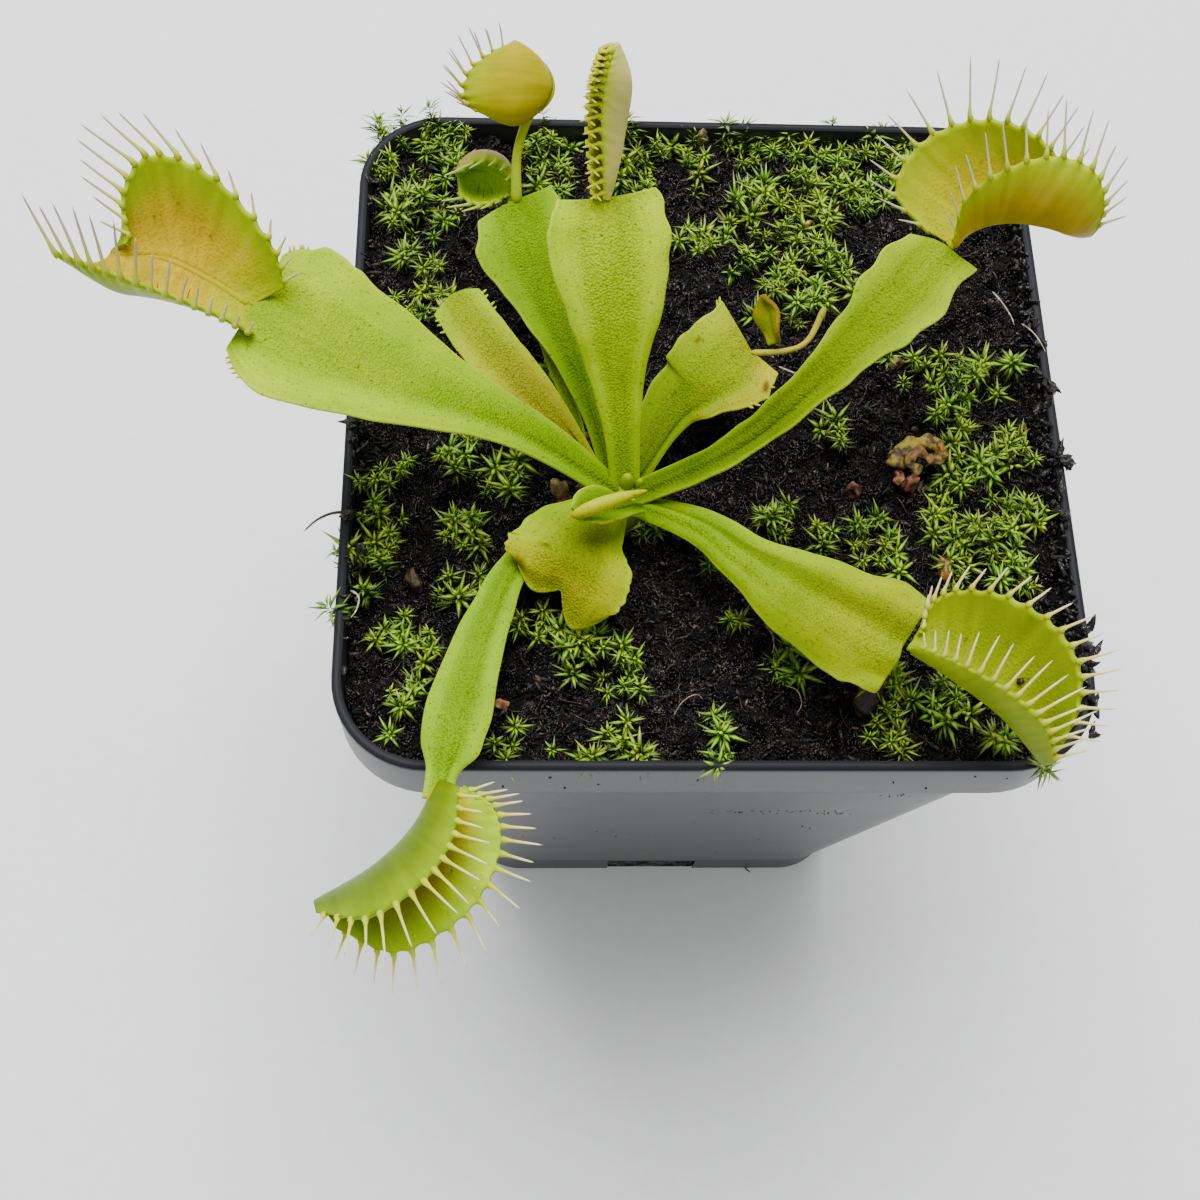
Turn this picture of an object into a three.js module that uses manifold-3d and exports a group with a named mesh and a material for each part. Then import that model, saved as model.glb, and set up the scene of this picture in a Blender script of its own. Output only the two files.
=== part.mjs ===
// A Venus flytrap growing in a square nursery pot. Millimetres, +Z up.
// The origin is the middle of the pot's underside, and +Y is the side away from the viewer.
import * as THREE from 'three';
import { mergeVertices } from 'three/addons/utils/BufferGeometryUtils.js';
import Module from 'manifold-3d';

const wasm = await Module();
wasm.setup();

// Pot, a common 3 inch square by 3.5 inch deep size
const POT_HEIGHT = 89;
const RIM_WIDTH = 76;
const RIM_DEPTH = 78;
const RIM_TALL = 8.7;
const RIM_STEP = 1.75;
const RIM_CORNER = 9.6;
const FOOT_WIDTH = 54;
const FOOT_CORNER = 10;
const WALL = 1.1;
const FLOOR = 1.4;
const DRAIN_RADIUS = 3;
const DRAIN_OFFSET = 17;
const NOTCH_WIDTH = 13;
const NOTCH_HEIGHT = 0.9;
const CORNER_STEPS = 5;

// Soil, and the crown that the leaves grow from
const GAP = 0.3;
const SOIL_LEVEL = 86.6;
const SOIL_BUMP = 0.45;
const CROWN = new THREE.Vector3(-9, -10, 0);
const CROWN_TOP = 91.2;
const CROWN_RADIUS = 3.6;
const STEM_RADIUS = 2.4;
const STEM_BOTTOM = 78;

// Leaves
const BLADE_THICK = 0.75;
const MIDRIB_THICK = 0.9;
const LOBE_THICK = 0.7;
const RIB_RADIUS = 0.65;
const TOOTH_RADIUS = 0.34;
const TOOTH_SINK = 0.9;
const BLADE_CELLS = [6, 9];
const LOBE_CELLS = [8, 4];
const SMALL_LOBE_CELLS = [5, 3];

// Moss
const TUFT_POINTS = 6;
const TUFT_REACH = [1.4, 1.9];
const TUFT_SINK = 1.2;
const CUSHION_HEIGHT = 1.2;

const LEAF_GREEN = 0x9dba2e;
const TRAP_GREEN = 0xaab52a;
const BUD_YELLOW = 0xc9be45;
const MOSS_GREEN = 0x6f9a2c;
const SOIL_BROWN = 0x211b17;
const POT_GREY = 0x3c3c40;
const CROWN_GREEN = 0xb9c27a;
const WITHERED = 0x8f6f3a;

// Each petiole is a row of stations from the crown out, x, y, z and the blade's left and right
// half widths there. curl lifts its margins in degrees, and lead pushes the end's corners forward.
// Each trap hangs on a rib, and each lobe spans from the rib to its own margin. aim is the way
// its teeth point near the petiole, half way and at the far end, and tooth is their length there.
const LEAVES = {
  leaf_west: {
    colour: LEAF_GREEN,
    rows: [
      [-11.3, -9.2, 90.2, 1.2, 1.2], [-17, -7.5, 96, 2.2, 2.4], [-23.5, -6.5, 101, 3.3, 3.3],
      [-30.5, -5.5, 105, 5.4, 5.8], [-37, -4, 107.5, 7.2, 8.0], [-41.5, -2, 108.5, 7.6, 8.6],
      [-44.5, -0.5, 109, 5.2, 6.2],
    ],
    curl: [15, 15],
    lead: [-0.4, 0.2],
    trap: {
      rib: [[-44.5, -0.4, 109], [-48.5, 1.2, 111], [-52.2, 1.9, 113], [-56.4, 0.9, 114.5]],
      left: {
        margin: [[-44.2, -4.4, 110], [-47.5, -4.3, 114], [-51.5, -4.4, 117.5], [-55.8, -3.7, 119.5],
          [-59.6, -2.5, 120]],
        bulge: 1.6,
        teeth: 14,
        tooth: [1.8, 4, 7],
        aim: [[0.6, 0.3, 0.8], [0.1, 0.3, 1], [-0.5, 0.35, 0.7]],
      },
      right: {
        margin: [[-41, 0.8, 110.5], [-42.2, 3.3, 114.5], [-47.2, 7.7, 118], [-52.5, 8.6, 119.5],
          [-54.8, 5.4, 118], [-54.1, 1.8, 115.5]],
        bulge: 1.2,
        teeth: 15,
        tooth: [2, 5.5, 5],
        aim: [[0.8, 0.6, 0.3], [-0.6, 0.7, 0.5], [-0.9, 0.1, 0.4]],
      },
    },
  },
  leaf_north: {
    colour: LEAF_GREEN,
    rows: [
      [-9, -7.6, 90, 1.1, 1.1], [-9.6, -5.2, 95, 1.7, 1.8], [-10.3, -2, 100.5, 2.7, 3],
      [-10.8, 0.6, 106, 4.2, 4.5], [-11.3, 3.8, 110.5, 5.6, 5.7], [-11.6, 6.4, 113, 5.6, 5.7],
      [-12, 8.7, 114, 4.5, 5],
    ],
    curl: [10, 15],
    lead: [0.3, 0.3],
    trap: {
      rib: [[-12, 8.7, 114], [-10.9, 11.3, 119], [-10.3, 13.3, 124], [-11.7, 14.6, 127.5]],
      left: {
        margin: [[-13.3, 8.4, 114.5], [-14.2, 10.1, 119], [-14.8, 11.8, 123], [-14, 12.6, 126.5],
          [-12.9, 13.8, 128]],
        bulge: 1,
        teeth: 13,
        tooth: [1.6, 1.6, 1.2],
        aim: [[-0.1, -1, 0.1], [0.2, -0.9, 0.3], [0.1, -0.8, 0.6]],
      },
      right: {
        margin: [[-11.7, 8.2, 114.7], [-12, 10, 119], [-12.1, 11.8, 123.5], [-11.9, 12.4, 126.5],
          [-11.6, 13.6, 128.2]],
        bulge: 1.2,
        teeth: 13,
        tooth: [1.6, 1.6, 1.2],
        aim: [[-0.6, -0.8, 0.1], [-0.7, -0.7, 0.2], [-0.5, -0.6, 0.6]],
      },
    },
  },
  leaf_north_east: {
    colour: LEAF_GREEN,
    rows: [
      [-6.2, -9.3, 90.2, 1.1, 1.1], [-1.7, -9.3, 95, 1.6, 1.7], [2.8, -8.4, 99.5, 1.7, 1.7],
      [7.2, -5.9, 103.5, 1.9, 2], [11.8, -2.1, 106.5, 2.5, 3], [16.5, 2, 108.5, 3.6, 3.7],
      [21.4, 7.6, 109.5, 3.2, 2.8],
    ],
    curl: [12, 15],
    lead: [-1.2, 0.3],
    trap: {
      rib: [[21.4, 7.6, 109.5], [24.6, 8.7, 111.5], [28.9, 8.1, 113], [33.9, 7.9, 112.5]],
      left: {
        margin: [[19.2, 8.6, 110], [15.7, 11.2, 112.5], [17.2, 14.2, 115.5], [21.2, 15.3, 118],
          [25.3, 14.1, 119.5], [28.8, 11.8, 119], [31.4, 9.6, 116]],
        bulge: 1.2,
        teeth: 14,
        tooth: [2.5, 6.5, 6],
        aim: [[-0.8, -0.1, 0.4], [0.15, 0.4, 0.9], [0.6, 0.3, 0.7]],
      },
      right: {
        margin: [[21.8, 7.2, 110.7], [21.5, 7.6, 116], [24, 7.6, 120], [28.2, 7.9, 121.5],
          [31.6, 7.2, 121], [33.3, 6.1, 118.5], [33.9, 5.6, 115]],
        bulge: 1.8,
        teeth: 14,
        tooth: [2.5, 6, 4],
        aim: [[-0.3, 0.2, 0.6], [0, 0.3, 1], [0.9, -0.1, 0.4]],
      },
    },
  },
  leaf_south_east: {
    colour: LEAF_GREEN,
    rows: [
      [-6.2, -11.9, 89.9, 1, 1], [-1.6, -14.8, 93, 2.3, 2.1], [2.8, -19.5, 95.5, 3.1, 3],
      [7.2, -23, 97, 4.8, 5.1], [11.7, -26, 97.5, 6, 5.9], [14.5, -27.5, 97.5, 6.6, 6.3],
      [17.3, -29, 97, 5.9, 5.1],
    ],
    curl: [-20, -40],
    lead: [0.2, -0.5],
    trap: {
      rib: [[17.1, -29.2, 97], [21.4, -32.2, 96.5], [25.3, -35.8, 96.5], [28.9, -40.3, 96]],
      left: {
        margin: [[18.5, -28.3, 98], [19, -25.9, 99.5], [21, -25.1, 101], [24.8, -26.1, 103],
          [28.8, -29.3, 104], [30.8, -33.3, 104], [30.9, -36.8, 102.5], [29.9, -39.4, 99.5]],
        bulge: 1.4,
        teeth: 16,
        tooth: [2.2, 3.6, 3.2],
        aim: [[-0.1, 0.6, 0.6], [0.8, 0.3, 0.5], [0.9, -0.3, 0.3]],
      },
      right: {
        margin: [[17.9, -29.8, 98.5], [20.5, -33, 101.5], [23.9, -36.7, 104], [26.5, -39.9, 104.5],
          [28.4, -41.7, 101]],
        bulge: 1.4,
        teeth: 13,
        tooth: [2, 4.5, 3],
        aim: [[-0.1, 0.4, 0.8], [0.5, 0.6, 0.6], [0.9, 0.1, 0.4]],
      },
    },
  },
  leaf_south_west: {
    colour: LEAF_GREEN,
    rows: [
      [-12, -11.8, 88.7, 1, 1.1], [-17, -14.6, 89.9, 1.4, 1.4], [-20.6, -19.1, 91, 1.7, 1.6],
      [-22.5, -24.8, 93.8, 2.3, 2.1], [-24, -30, 94.8, 2.7, 2.7], [-25.2, -35, 95, 3.2, 3.1],
      [-26, -38.2, 94.5, 2.9, 2.8], [-26.2, -41.2, 94, 1.3, 1.3],
    ],
    curl: [-5, -15],
    lead: [0, 0],
    trap: {
      rib: [[-26.1, -41.4, 94], [-28.2, -46.4, 94.5], [-31.8, -49.7, 94.5], [-37.4, -52.5, 93]],
      left: {
        margin: [[-24.2, -42, 93.5], [-21.4, -43.9, 93.5], [-20.9, -48.2, 93], [-23.8, -53.5, 92.5],
          [-30, -57, 92], [-35.6, -54.7, 92]],
        bulge: 1.3,
        teeth: 16,
        tooth: [2, 3.6, 3],
        aim: [[0.9, 0.2, 0.2], [0.6, -0.7, 0.1], [-0.3, -0.9, 0]],
      },
      right: {
        margin: [[-24.9, -42.9, 96], [-25.2, -48.4, 100.5], [-27.3, -52.5, 102.5],
          [-31.7, -55.2, 101.5], [-36.9, -53.9, 96]],
        bulge: 1.2,
        teeth: 13,
        tooth: [2.2, 4.6, 3],
        aim: [[0.9, -0.1, 0.3], [0.6, -0.7, 0.1], [-0.5, -0.8, 0]],
      },
    },
  },
  leaf_north_west: {
    colour: LEAF_GREEN,
    rows: [
      [-10.3, -6.3, 88.5, 0.8, 0.8], [-12.2, -1, 90.8, 1.1, 1.4], [-14.5, 5, 93.2, 2.3, 2.4],
      [-17, 10.7, 96, 4.2, 3.5], [-18.8, 15.4, 98, 6, 4.5], [-20.4, 19.3, 99.5, 4.5, 4.4],
    ],
    curl: [5, 10],
    lead: [-1, 0.3],
    stalk: [[-20.4, 19.3, 99.5], [-20.9, 22.7, 102.5], [-20.2, 25.6, 105]],
    trap: {
      rib: [[-20.2, 25.6, 105], [-17.8, 25.6, 106.5], [-16.7, 27.1, 107.5], [-17.6, 29.1, 108.5],
        [-20.4, 30.9, 109]],
      left: {
        margin: [[-21.1, 25.6, 104.7], [-24.1, 25.1, 106.2], [-25.8, 26, 107.1],
          [-25.3, 28.2, 108.1], [-23.3, 29.9, 108.6], [-21.1, 31, 108.8]],
        bulge: 1.7,
        teeth: 9,
        tooth: [2, 3.4, 2.6],
        aim: [[-0.9, -0.2, 0.4], [-0.8, 0.4, 0.4], [-0.2, 0.9, 0.4]],
      },
      right: {
        margin: [[-21.1, 24.9, 105.5], [-24.1, 24.2, 107.3], [-25.7, 25.1, 108.3],
          [-25.3, 27.2, 109.3], [-23.3, 29, 109.8], [-21.1, 30.2, 109.6]],
        bulge: 1.9,
        teeth: 9,
        tooth: [2, 3.4, 2.6],
        aim: [[-0.9, -0.2, 0.4], [-0.8, 0.4, 0.4], [-0.2, 0.9, 0.4]],
      },
    },
  },
  leaf_small_north_west: {
    colour: LEAF_GREEN,
    rows: [
      [-12.6, -6.2, 87.9, 0.6, 0.6], [-14, 0, 88.4, 0.7, 0.7], [-16.5, 7, 89.6, 0.8, 0.8],
      [-19, 15, 92.5, 0.9, 0.9], [-20.6, 22.3, 96.6, 0.8, 0.8],
    ],
    curl: [5, 5],
    lead: [0, 0],
    trap: {
      small: true,
      rib: [[-20.6, 23, 97], [-22.6, 25.2, 96.5], [-24.7, 25.7, 96.5], [-26.5, 24.3, 96.5]],
      left: {
        margin: [[-20.8, 22.2, 97], [-22.5, 20.3, 97.6], [-24.6, 19.9, 97.6], [-26.4, 21.7, 97]],
        bulge: 1.5,
        teeth: 5,
        tooth: [1.2, 2.6, 3],
        aim: [[-0.3, -0.9, 0.3], [-0.6, -0.8, 0.2], [-0.9, -0.4, 0.1]],
      },
      right: {
        margin: [[-20.7, 21.9, 99], [-21.9, 22.8, 101], [-24.2, 22.6, 101.5], [-26.2, 22.7, 99.5]],
        bulge: 1.3,
        teeth: 5,
        tooth: [1.2, 2.6, 3],
        aim: [[-0.3, -0.8, -0.2], [-0.6, -0.8, -0.2], [-0.9, -0.5, -0.1]],
      },
    },
  },
  leaf_stub_west: {
    colour: LEAF_GREEN,
    rows: [
      [-12, -7.4, 89.8, 0.8, 0.8], [-15.8, -2.9, 92, 1.9, 1.8], [-19.5, 0.8, 93.8, 2.9, 2.6],
      [-23, 4.2, 95.5, 2.9, 2.7], [-26.8, 9.3, 97, 2.4, 2.4],
    ],
    curl: [5, 10],
    lead: [-1, -1],
  },
  leaf_short_north_east: {
    colour: LEAF_GREEN,
    rows: [
      [-7.4, -6.6, 88.9, 0.9, 0.9], [-3.6, -2, 91, 4.2, 1.3], [-0.8, 0.1, 92.8, 5.6, 2.8],
      [2, 2.4, 94.2, 6.2, 5], [4.3, 4.4, 95, 6, 3.4],
    ],
    curl: [5, 10],
    lead: [1.2, 0],
    stalk: [[3.8, 4, 95], [7.5, 3.7, 96], [9.8, 4.4, 97], [11.5, 7.4, 99]],
    withered_trap: {
      tilt: [[6, 4, 96.2], [5.2, 6.9, 99.6]],
      width: 3.4,
    },
  },
  leaf_broad_south: {
    colour: LEAF_GREEN,
    rows: [
      [-10.8, -11.8, 90.8, 1.2, 1.3], [-13, -15.8, 93.3, 4.2, 5.6], [-14.2, -18.8, 94.2, 6, 6.8],
      [-15.3, -21, 93.4, 6.6, 5.4], [-16.2, -22.4, 92, 5.4, 2.9],
    ],
    curl: [-10, -13],
    lead: [1, 0],
  },
  leaf_young_centre: {
    colour: BUD_YELLOW,
    rows: [
      [-7.6, -12, 91, 0.9, 0.9], [-9.5, -13.8, 94.8, 1.4, 1.4], [-11.3, -14.8, 96.8, 1.8, 2],
      [-13, -15.6, 97.9, 1.9, 1.8], [-14.3, -16.4, 98.3, 1, 0.9],
    ],
    curl: [30, 30],
    lead: [0, 0],
    bud: [[-14.8, -17.2, 99.6], [-7.3, -14.4, 99.8]],
  },
};

// Moss patches, each a middle, half widths, a seed and how many tufts it holds
const MOSS = {
  moss_north_west: { at: [-22, 28], spread: [10, 6], tufts: 8, seed: 3 },
  moss_north: { at: [5, 29], spread: [8, 5.5], tufts: 8, seed: 5 },
  moss_north_east: { at: [20, 20], spread: [9, 8], tufts: 9, seed: 7 },
  moss_east: { at: [29.6, -9], spread: [3, 12], tufts: 8, seed: 11 },
  moss_south_east: { at: [16, -28], spread: [9, 5.5], tufts: 8, seed: 13 },
  moss_south: { at: [-9, -30], spread: [9, 4.5], tufts: 7, seed: 17 },
  moss_west: { at: [-30, -19], spread: [3.4, 12], tufts: 7, seed: 19 },
};

const vector = (point) => new THREE.Vector3(...point);
const rail = (points) => new THREE.CatmullRomCurve3(points.map(vector), false, 'catmullrom', 0.5);
const smooth = (x) => THREE.MathUtils.smoothstep(x, 0, 1);

// Repeatable random numbers, so that every run grows the same moss
function randomStream(seed) {
  let state = seed * 7919;
  return () => {
    state = (state * 16807) % 2147483647;
    return state / 2147483647;
  };
}

// Solids from geometry and back
function solid(geometry) {
  const bare = geometry.clone();
  bare.deleteAttribute('normal');
  bare.deleteAttribute('uv');
  const merged = mergeVertices(bare, 1e-4);
  return new wasm.Manifold(new wasm.Mesh({
    numProp: 3,
    vertProperties: new Float32Array(merged.attributes.position.array),
    triVerts: new Uint32Array(merged.index.array),
  }));
}

function geometryOf(body) {
  const mesh = body.getMesh();
  const geometry = new THREE.BufferGeometry();
  geometry.setAttribute('position', new THREE.BufferAttribute(mesh.vertProperties, 3));
  geometry.setIndex(new THREE.BufferAttribute(mesh.triVerts, 1));
  geometry.computeVertexNormals();
  return geometry;
}

const fuse = (bodies) => bodies.reduce((whole, next) => whole.add(next));

// Only the largest closed body stays, so no loose scrap is left by a cut
function largest(body) {
  const pieces = body.decompose();
  return pieces.reduce((best, piece) => (piece.volume() > best.volume() ? piece : best));
}

// A closed sheet of the given thickness over surface(s, t), split alike on both faces
function sheet([across, along], surface, thickness) {
  const plane = new THREE.PlaneGeometry(1, 1, across, along);
  const { uv } = plane.attributes;
  const step = 1e-3;
  const points = [];
  for (const face of [0.5, -0.5]) {
    for (let i = 0; i < uv.count; i += 1) {
      const s = THREE.MathUtils.clamp(uv.getX(i), step, 1 - step);
      const t = THREE.MathUtils.clamp(uv.getY(i), step, 1 - step);
      const eastward = surface(s + step, t).sub(surface(s - step, t));
      const northward = surface(s, t + step).sub(surface(s, t - step));
      const normal = eastward.cross(northward).normalize();
      const point = surface(uv.getX(i), uv.getY(i));
      points.push(...point.addScaledVector(normal, face * thickness(s, t)).toArray());
    }
  }
  const faces = Array.from(plane.index.array);
  const index = [...faces];
  for (let i = 0; i < faces.length; i += 3) {
    index.push(faces[i] + uv.count, faces[i + 2] + uv.count, faces[i + 1] + uv.count);
  }
  const edge = [];
  for (let i = 0; i < across; i += 1) edge.push(i);
  for (let j = 0; j < along; j += 1) edge.push(across + j * (across + 1));
  for (let i = across; i > 0; i -= 1) edge.push(i + along * (across + 1));
  for (let j = along; j > 0; j -= 1) edge.push(j * (across + 1));
  edge.forEach((here, i) => {
    const next = edge[(i + 1) % edge.length];
    index.push(here, next, next + uv.count, here, next + uv.count, here + uv.count);
  });
  const geometry = new THREE.BufferGeometry();
  geometry.setAttribute('position', new THREE.Float32BufferAttribute(points, 3));
  geometry.setIndex(index);
  return solid(geometry);
}

// A round rod along a curve, its radius given by radiusAt(t)
function rod(curve, radiusAt, steps, sides = 6) {
  const geometry = new THREE.CylinderGeometry(1, 1, 1, sides, steps);
  const { position } = geometry.attributes;
  const place = new THREE.Vector3();
  for (let i = 0; i < position.count; i += 1) {
    const t = position.getY(i) + 0.5;
    const tangent = curve.getTangent(THREE.MathUtils.clamp(t, 0.001, 0.999));
    const turn = new THREE.Quaternion().setFromUnitVectors(new THREE.Vector3(0, 1, 0), tangent);
    place.set(position.getX(i), 0, position.getZ(i)).multiplyScalar(radiusAt(t));
    place.applyQuaternion(turn).add(curve.getPoint(t));
    position.setXYZ(i, place.x, place.y, place.z);
  }
  return solid(geometry);
}

// A three-sided spike from root to tip
function spike(root, tip, radius) {
  const direction = tip.clone().sub(root);
  const length = direction.length();
  const geometry = new THREE.ConeGeometry(radius, length, 3);
  geometry.translate(0, length / 2, 0);
  const turn = new THREE.Quaternion().setFromUnitVectors(
    new THREE.Vector3(0, 1, 0),
    direction.normalize(),
  );
  geometry.applyQuaternion(turn);
  geometry.translate(root.x, root.y, root.z);
  return solid(geometry);
}

function roundedSquare(width, depth, corner) {
  const shape = new THREE.Shape();
  const x = width / 2 - corner;
  const y = depth / 2 - corner;
  shape.absarc(x, y, corner, 0, Math.PI / 2);
  shape.absarc(-x, y, corner, Math.PI / 2, Math.PI);
  shape.absarc(-x, -y, corner, Math.PI, 1.5 * Math.PI);
  shape.absarc(x, -y, corner, 1.5 * Math.PI, 2 * Math.PI);
  shape.closePath();
  return shape;
}

// A block with rounded corners that widens from its bottom outline to its top one
function taperedBlock(bottom, top, low, high) {
  const shape = roundedSquare(bottom.width, bottom.depth, bottom.corner);
  const geometry = new THREE.ExtrudeGeometry(shape, {
    depth: high - low,
    bevelEnabled: false,
    curveSegments: CORNER_STEPS,
  });
  const { position } = geometry.attributes;
  for (let i = 0; i < position.count; i += 1) {
    if (position.getZ(i) > (high - low) / 2) {
      position.setX(i, position.getX(i) * (top.width / bottom.width));
      position.setY(i, position.getY(i) * (top.depth / bottom.depth));
    }
  }
  geometry.translate(0, 0, low);
  return solid(geometry);
}

const outline = (width, depth, corner, inset = 0) => ({
  width: width - 2 * inset,
  depth: depth - 2 * inset,
  corner: corner - inset,
});

const DEPTH_RATIO = RIM_DEPTH / RIM_WIDTH;
const BAND_BOTTOM = POT_HEIGHT - RIM_TALL;
const foot = (inset) => outline(FOOT_WIDTH, FOOT_WIDTH * DEPTH_RATIO, FOOT_CORNER, inset);
const shoulder = (inset) => (
  outline(RIM_WIDTH - 2 * RIM_STEP, RIM_DEPTH - 2 * RIM_STEP, RIM_CORNER, inset)
);
const band = (inset) => outline(RIM_WIDTH, RIM_DEPTH, RIM_CORNER, inset);

// The pot, a thin tapered wall with a stepped rim, drain holes and notches in its foot
function pot() {
  const shell = taperedBlock(foot(0), shoulder(0), 0, BAND_BOTTOM + WALL);
  const rim = taperedBlock(band(0.15), band(0), BAND_BOTTOM, POT_HEIGHT);
  const hollow = taperedBlock(foot(WALL), shoulder(WALL), FLOOR, BAND_BOTTOM + WALL + 0.01);
  const mouth = taperedBlock(band(WALL), band(WALL), BAND_BOTTOM + WALL, POT_HEIGHT + 1);
  let body = shell.add(rim).subtract(hollow).subtract(mouth);
  for (const x of [-1, 1]) {
    for (const y of [-1, 1]) {
      const drain = new THREE.CylinderGeometry(DRAIN_RADIUS, DRAIN_RADIUS, 3 * FLOOR, 12);
      drain.rotateX(Math.PI / 2);
      drain.translate(x * DRAIN_OFFSET, y * DRAIN_OFFSET, FLOOR / 2);
      body = body.subtract(solid(drain));
    }
  }
  const across = new THREE.BoxGeometry(NOTCH_WIDTH, 2 * FOOT_WIDTH, 2 * NOTCH_HEIGHT);
  const middle = new THREE.BoxGeometry(NOTCH_WIDTH, FOOT_WIDTH - 8, 4 * NOTCH_HEIGHT);
  const notch = solid(across).subtract(solid(middle));
  const turned = solid(across.rotateZ(Math.PI / 2)).subtract(solid(middle.rotateZ(Math.PI / 2)));
  return body.subtract(notch).subtract(turned);
}

const soilHeight = (x, y) => (
  SOIL_LEVEL + SOIL_BUMP * (Math.sin(x / 6 + 1) * Math.cos(y / 7) + 0.5 * Math.sin((x + 2 * y) / 9))
);

// The soil, its top gently uneven, with a plain hole for the crown
function soil() {
  const cells = 10;
  const block = new THREE.BoxGeometry(RIM_WIDTH, RIM_DEPTH, POT_HEIGHT, cells, cells, 1);
  const { position } = block.attributes;
  for (let i = 0; i < position.count; i += 1) {
    const top = position.getZ(i) > 0;
    position.setZ(i, top ? soilHeight(position.getX(i), position.getY(i)) : FLOOR + GAP);
  }
  const inset = WALL + GAP;
  const below = taperedBlock(foot(inset), shoulder(inset), FLOOR + GAP, BAND_BOTTOM + WALL + GAP);
  const above = taperedBlock(
    shoulder(inset),
    shoulder(inset),
    BAND_BOTTOM + WALL + GAP - 0.02,
    POT_HEIGHT,
  );
  const hole = new THREE.CylinderGeometry(STEM_RADIUS + GAP, STEM_RADIUS + GAP, 20, 12);
  hole.rotateX(Math.PI / 2);
  hole.translate(CROWN.x, CROWN.y, STEM_BOTTOM - GAP + 10);
  return solid(block).intersect(below.add(above)).subtract(solid(hole));
}

// The crown, a short underground stem and the swollen head that the leaves leave
function crown(grow = 0) {
  const profile = [
    [0, STEM_BOTTOM - grow],
    [STEM_RADIUS + grow, STEM_BOTTOM + 0.6 - grow],
    [STEM_RADIUS + grow, SOIL_LEVEL + 1.2 - grow],
    [CROWN_RADIUS + grow, SOIL_LEVEL + 2.2],
    [CROWN_RADIUS * 0.85 + grow, CROWN_TOP - 1.2],
    [CROWN_RADIUS * 0.5 + grow, CROWN_TOP - 0.3 + grow],
    [0, CROWN_TOP + grow],
  ];
  const geometry = new THREE.LatheGeometry(profile.map(([r, z]) => new THREE.Vector2(r, z)), 12);
  geometry.rotateX(Math.PI / 2);
  geometry.translate(CROWN.x, CROWN.y, 0);
  return solid(geometry);
}

// A petiole: its blade follows the stations, arched or folded by curl
function petiole({ rows, curl, lead }) {
  const middle = rail(rows.map((row) => row.slice(0, 3)));
  const widths = rail(rows.map((row) => [row[3], row[4], 0]));
  const surface = (s, t) => {
    const v = 2 * s - 1;
    const tangent = middle.getTangent(THREE.MathUtils.clamp(t, 0.001, 0.999));
    const side = tangent.clone().cross(new THREE.Vector3(0, 0, 1)).normalize();
    const up = side.clone().cross(tangent);
    const width = widths.getPoint(t).getComponent(v < 0 ? 0 : 1);
    const bend = THREE.MathUtils.degToRad(THREE.MathUtils.lerp(curl[0], curl[1], t));
    const reach = Math.abs(v);
    const push = lead[v < 0 ? 0 : 1] * reach ** 1.5 * smooth((t - 0.6) / 0.4);
    return middle.getPoint(t)
      .addScaledVector(side, (width * Math.sin(bend * reach) * Math.sign(v)) / bend)
      .addScaledVector(up, (width * (1 - Math.cos(bend * reach))) / bend)
      .addScaledVector(tangent, push);
  };
  const thickness = (s, t) => (
    BLADE_THICK + MIDRIB_THICK * Math.exp(-(((s - 0.5) / 0.14) ** 2)) * (1 - 0.7 * t)
  );
  return sheet(BLADE_CELLS, surface, thickness);
}

// One lobe of a trap, a bowed sheet from the rib to its margin, and the teeth along it
function lobe(rib, { margin, bulge, teeth, tooth, aim }, hand, cells) {
  const edge = rail(margin);
  const aims = rail(aim);
  const lengths = rail(tooth.map((length) => [length, 0, 0]));
  const surface = (a, b) => {
    const root = rib.getPoint(a);
    const reach = edge.getPoint(a).sub(root);
    const outward = rib.getTangent(THREE.MathUtils.clamp(a, 0.001, 0.999)).cross(reach).normalize();
    const belly = bulge * Math.sin(Math.PI * b ** 0.8) * Math.sin(Math.PI * (0.1 + 0.8 * a));
    return root.addScaledVector(reach, b).addScaledVector(outward, hand * belly);
  };
  const bodies = [sheet(cells, surface, () => LOBE_THICK)];
  for (let j = 0; j < teeth; j += 1) {
    const a = 0.04 + (0.92 * (j + 0.5)) / teeth;
    const root = surface(a, 1);
    const inner = surface(a, 0.86);
    const direction = aims.getPoint(a).normalize();
    const sunk = root.clone().lerp(inner, TOOTH_SINK / root.distanceTo(inner));
    const tip = root.clone().addScaledVector(direction, lengths.getPoint(a).x);
    bodies.push(spike(sunk, tip, TOOTH_RADIUS));
  }
  return bodies;
}

function trap({ rib, left, right, small }) {
  const spine = rail(rib);
  const cells = small ? SMALL_LOBE_CELLS : LOBE_CELLS;
  return [
    rod(spine, () => RIB_RADIUS, cells[0]),
    ...lobe(spine, left, -1, cells),
    ...lobe(spine, right, 1, cells),
  ];
}

// A closed bud, a long flattened egg from one end to the other
function bud([from, to]) {
  const start = vector(from);
  const end = vector(to);
  const axis = end.clone().sub(start);
  const length = axis.length();
  const geometry = new THREE.SphereGeometry(1, 8, 8);
  geometry.scale(0.75, length / 2 + 0.2, 1.1);
  const turn = new THREE.Quaternion().setFromUnitVectors(
    new THREE.Vector3(0, 1, 0),
    axis.normalize(),
  );
  geometry.applyQuaternion(turn);
  const middle = start.add(end).multiplyScalar(0.5);
  geometry.translate(middle.x, middle.y, middle.z);
  return solid(geometry);
}

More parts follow.
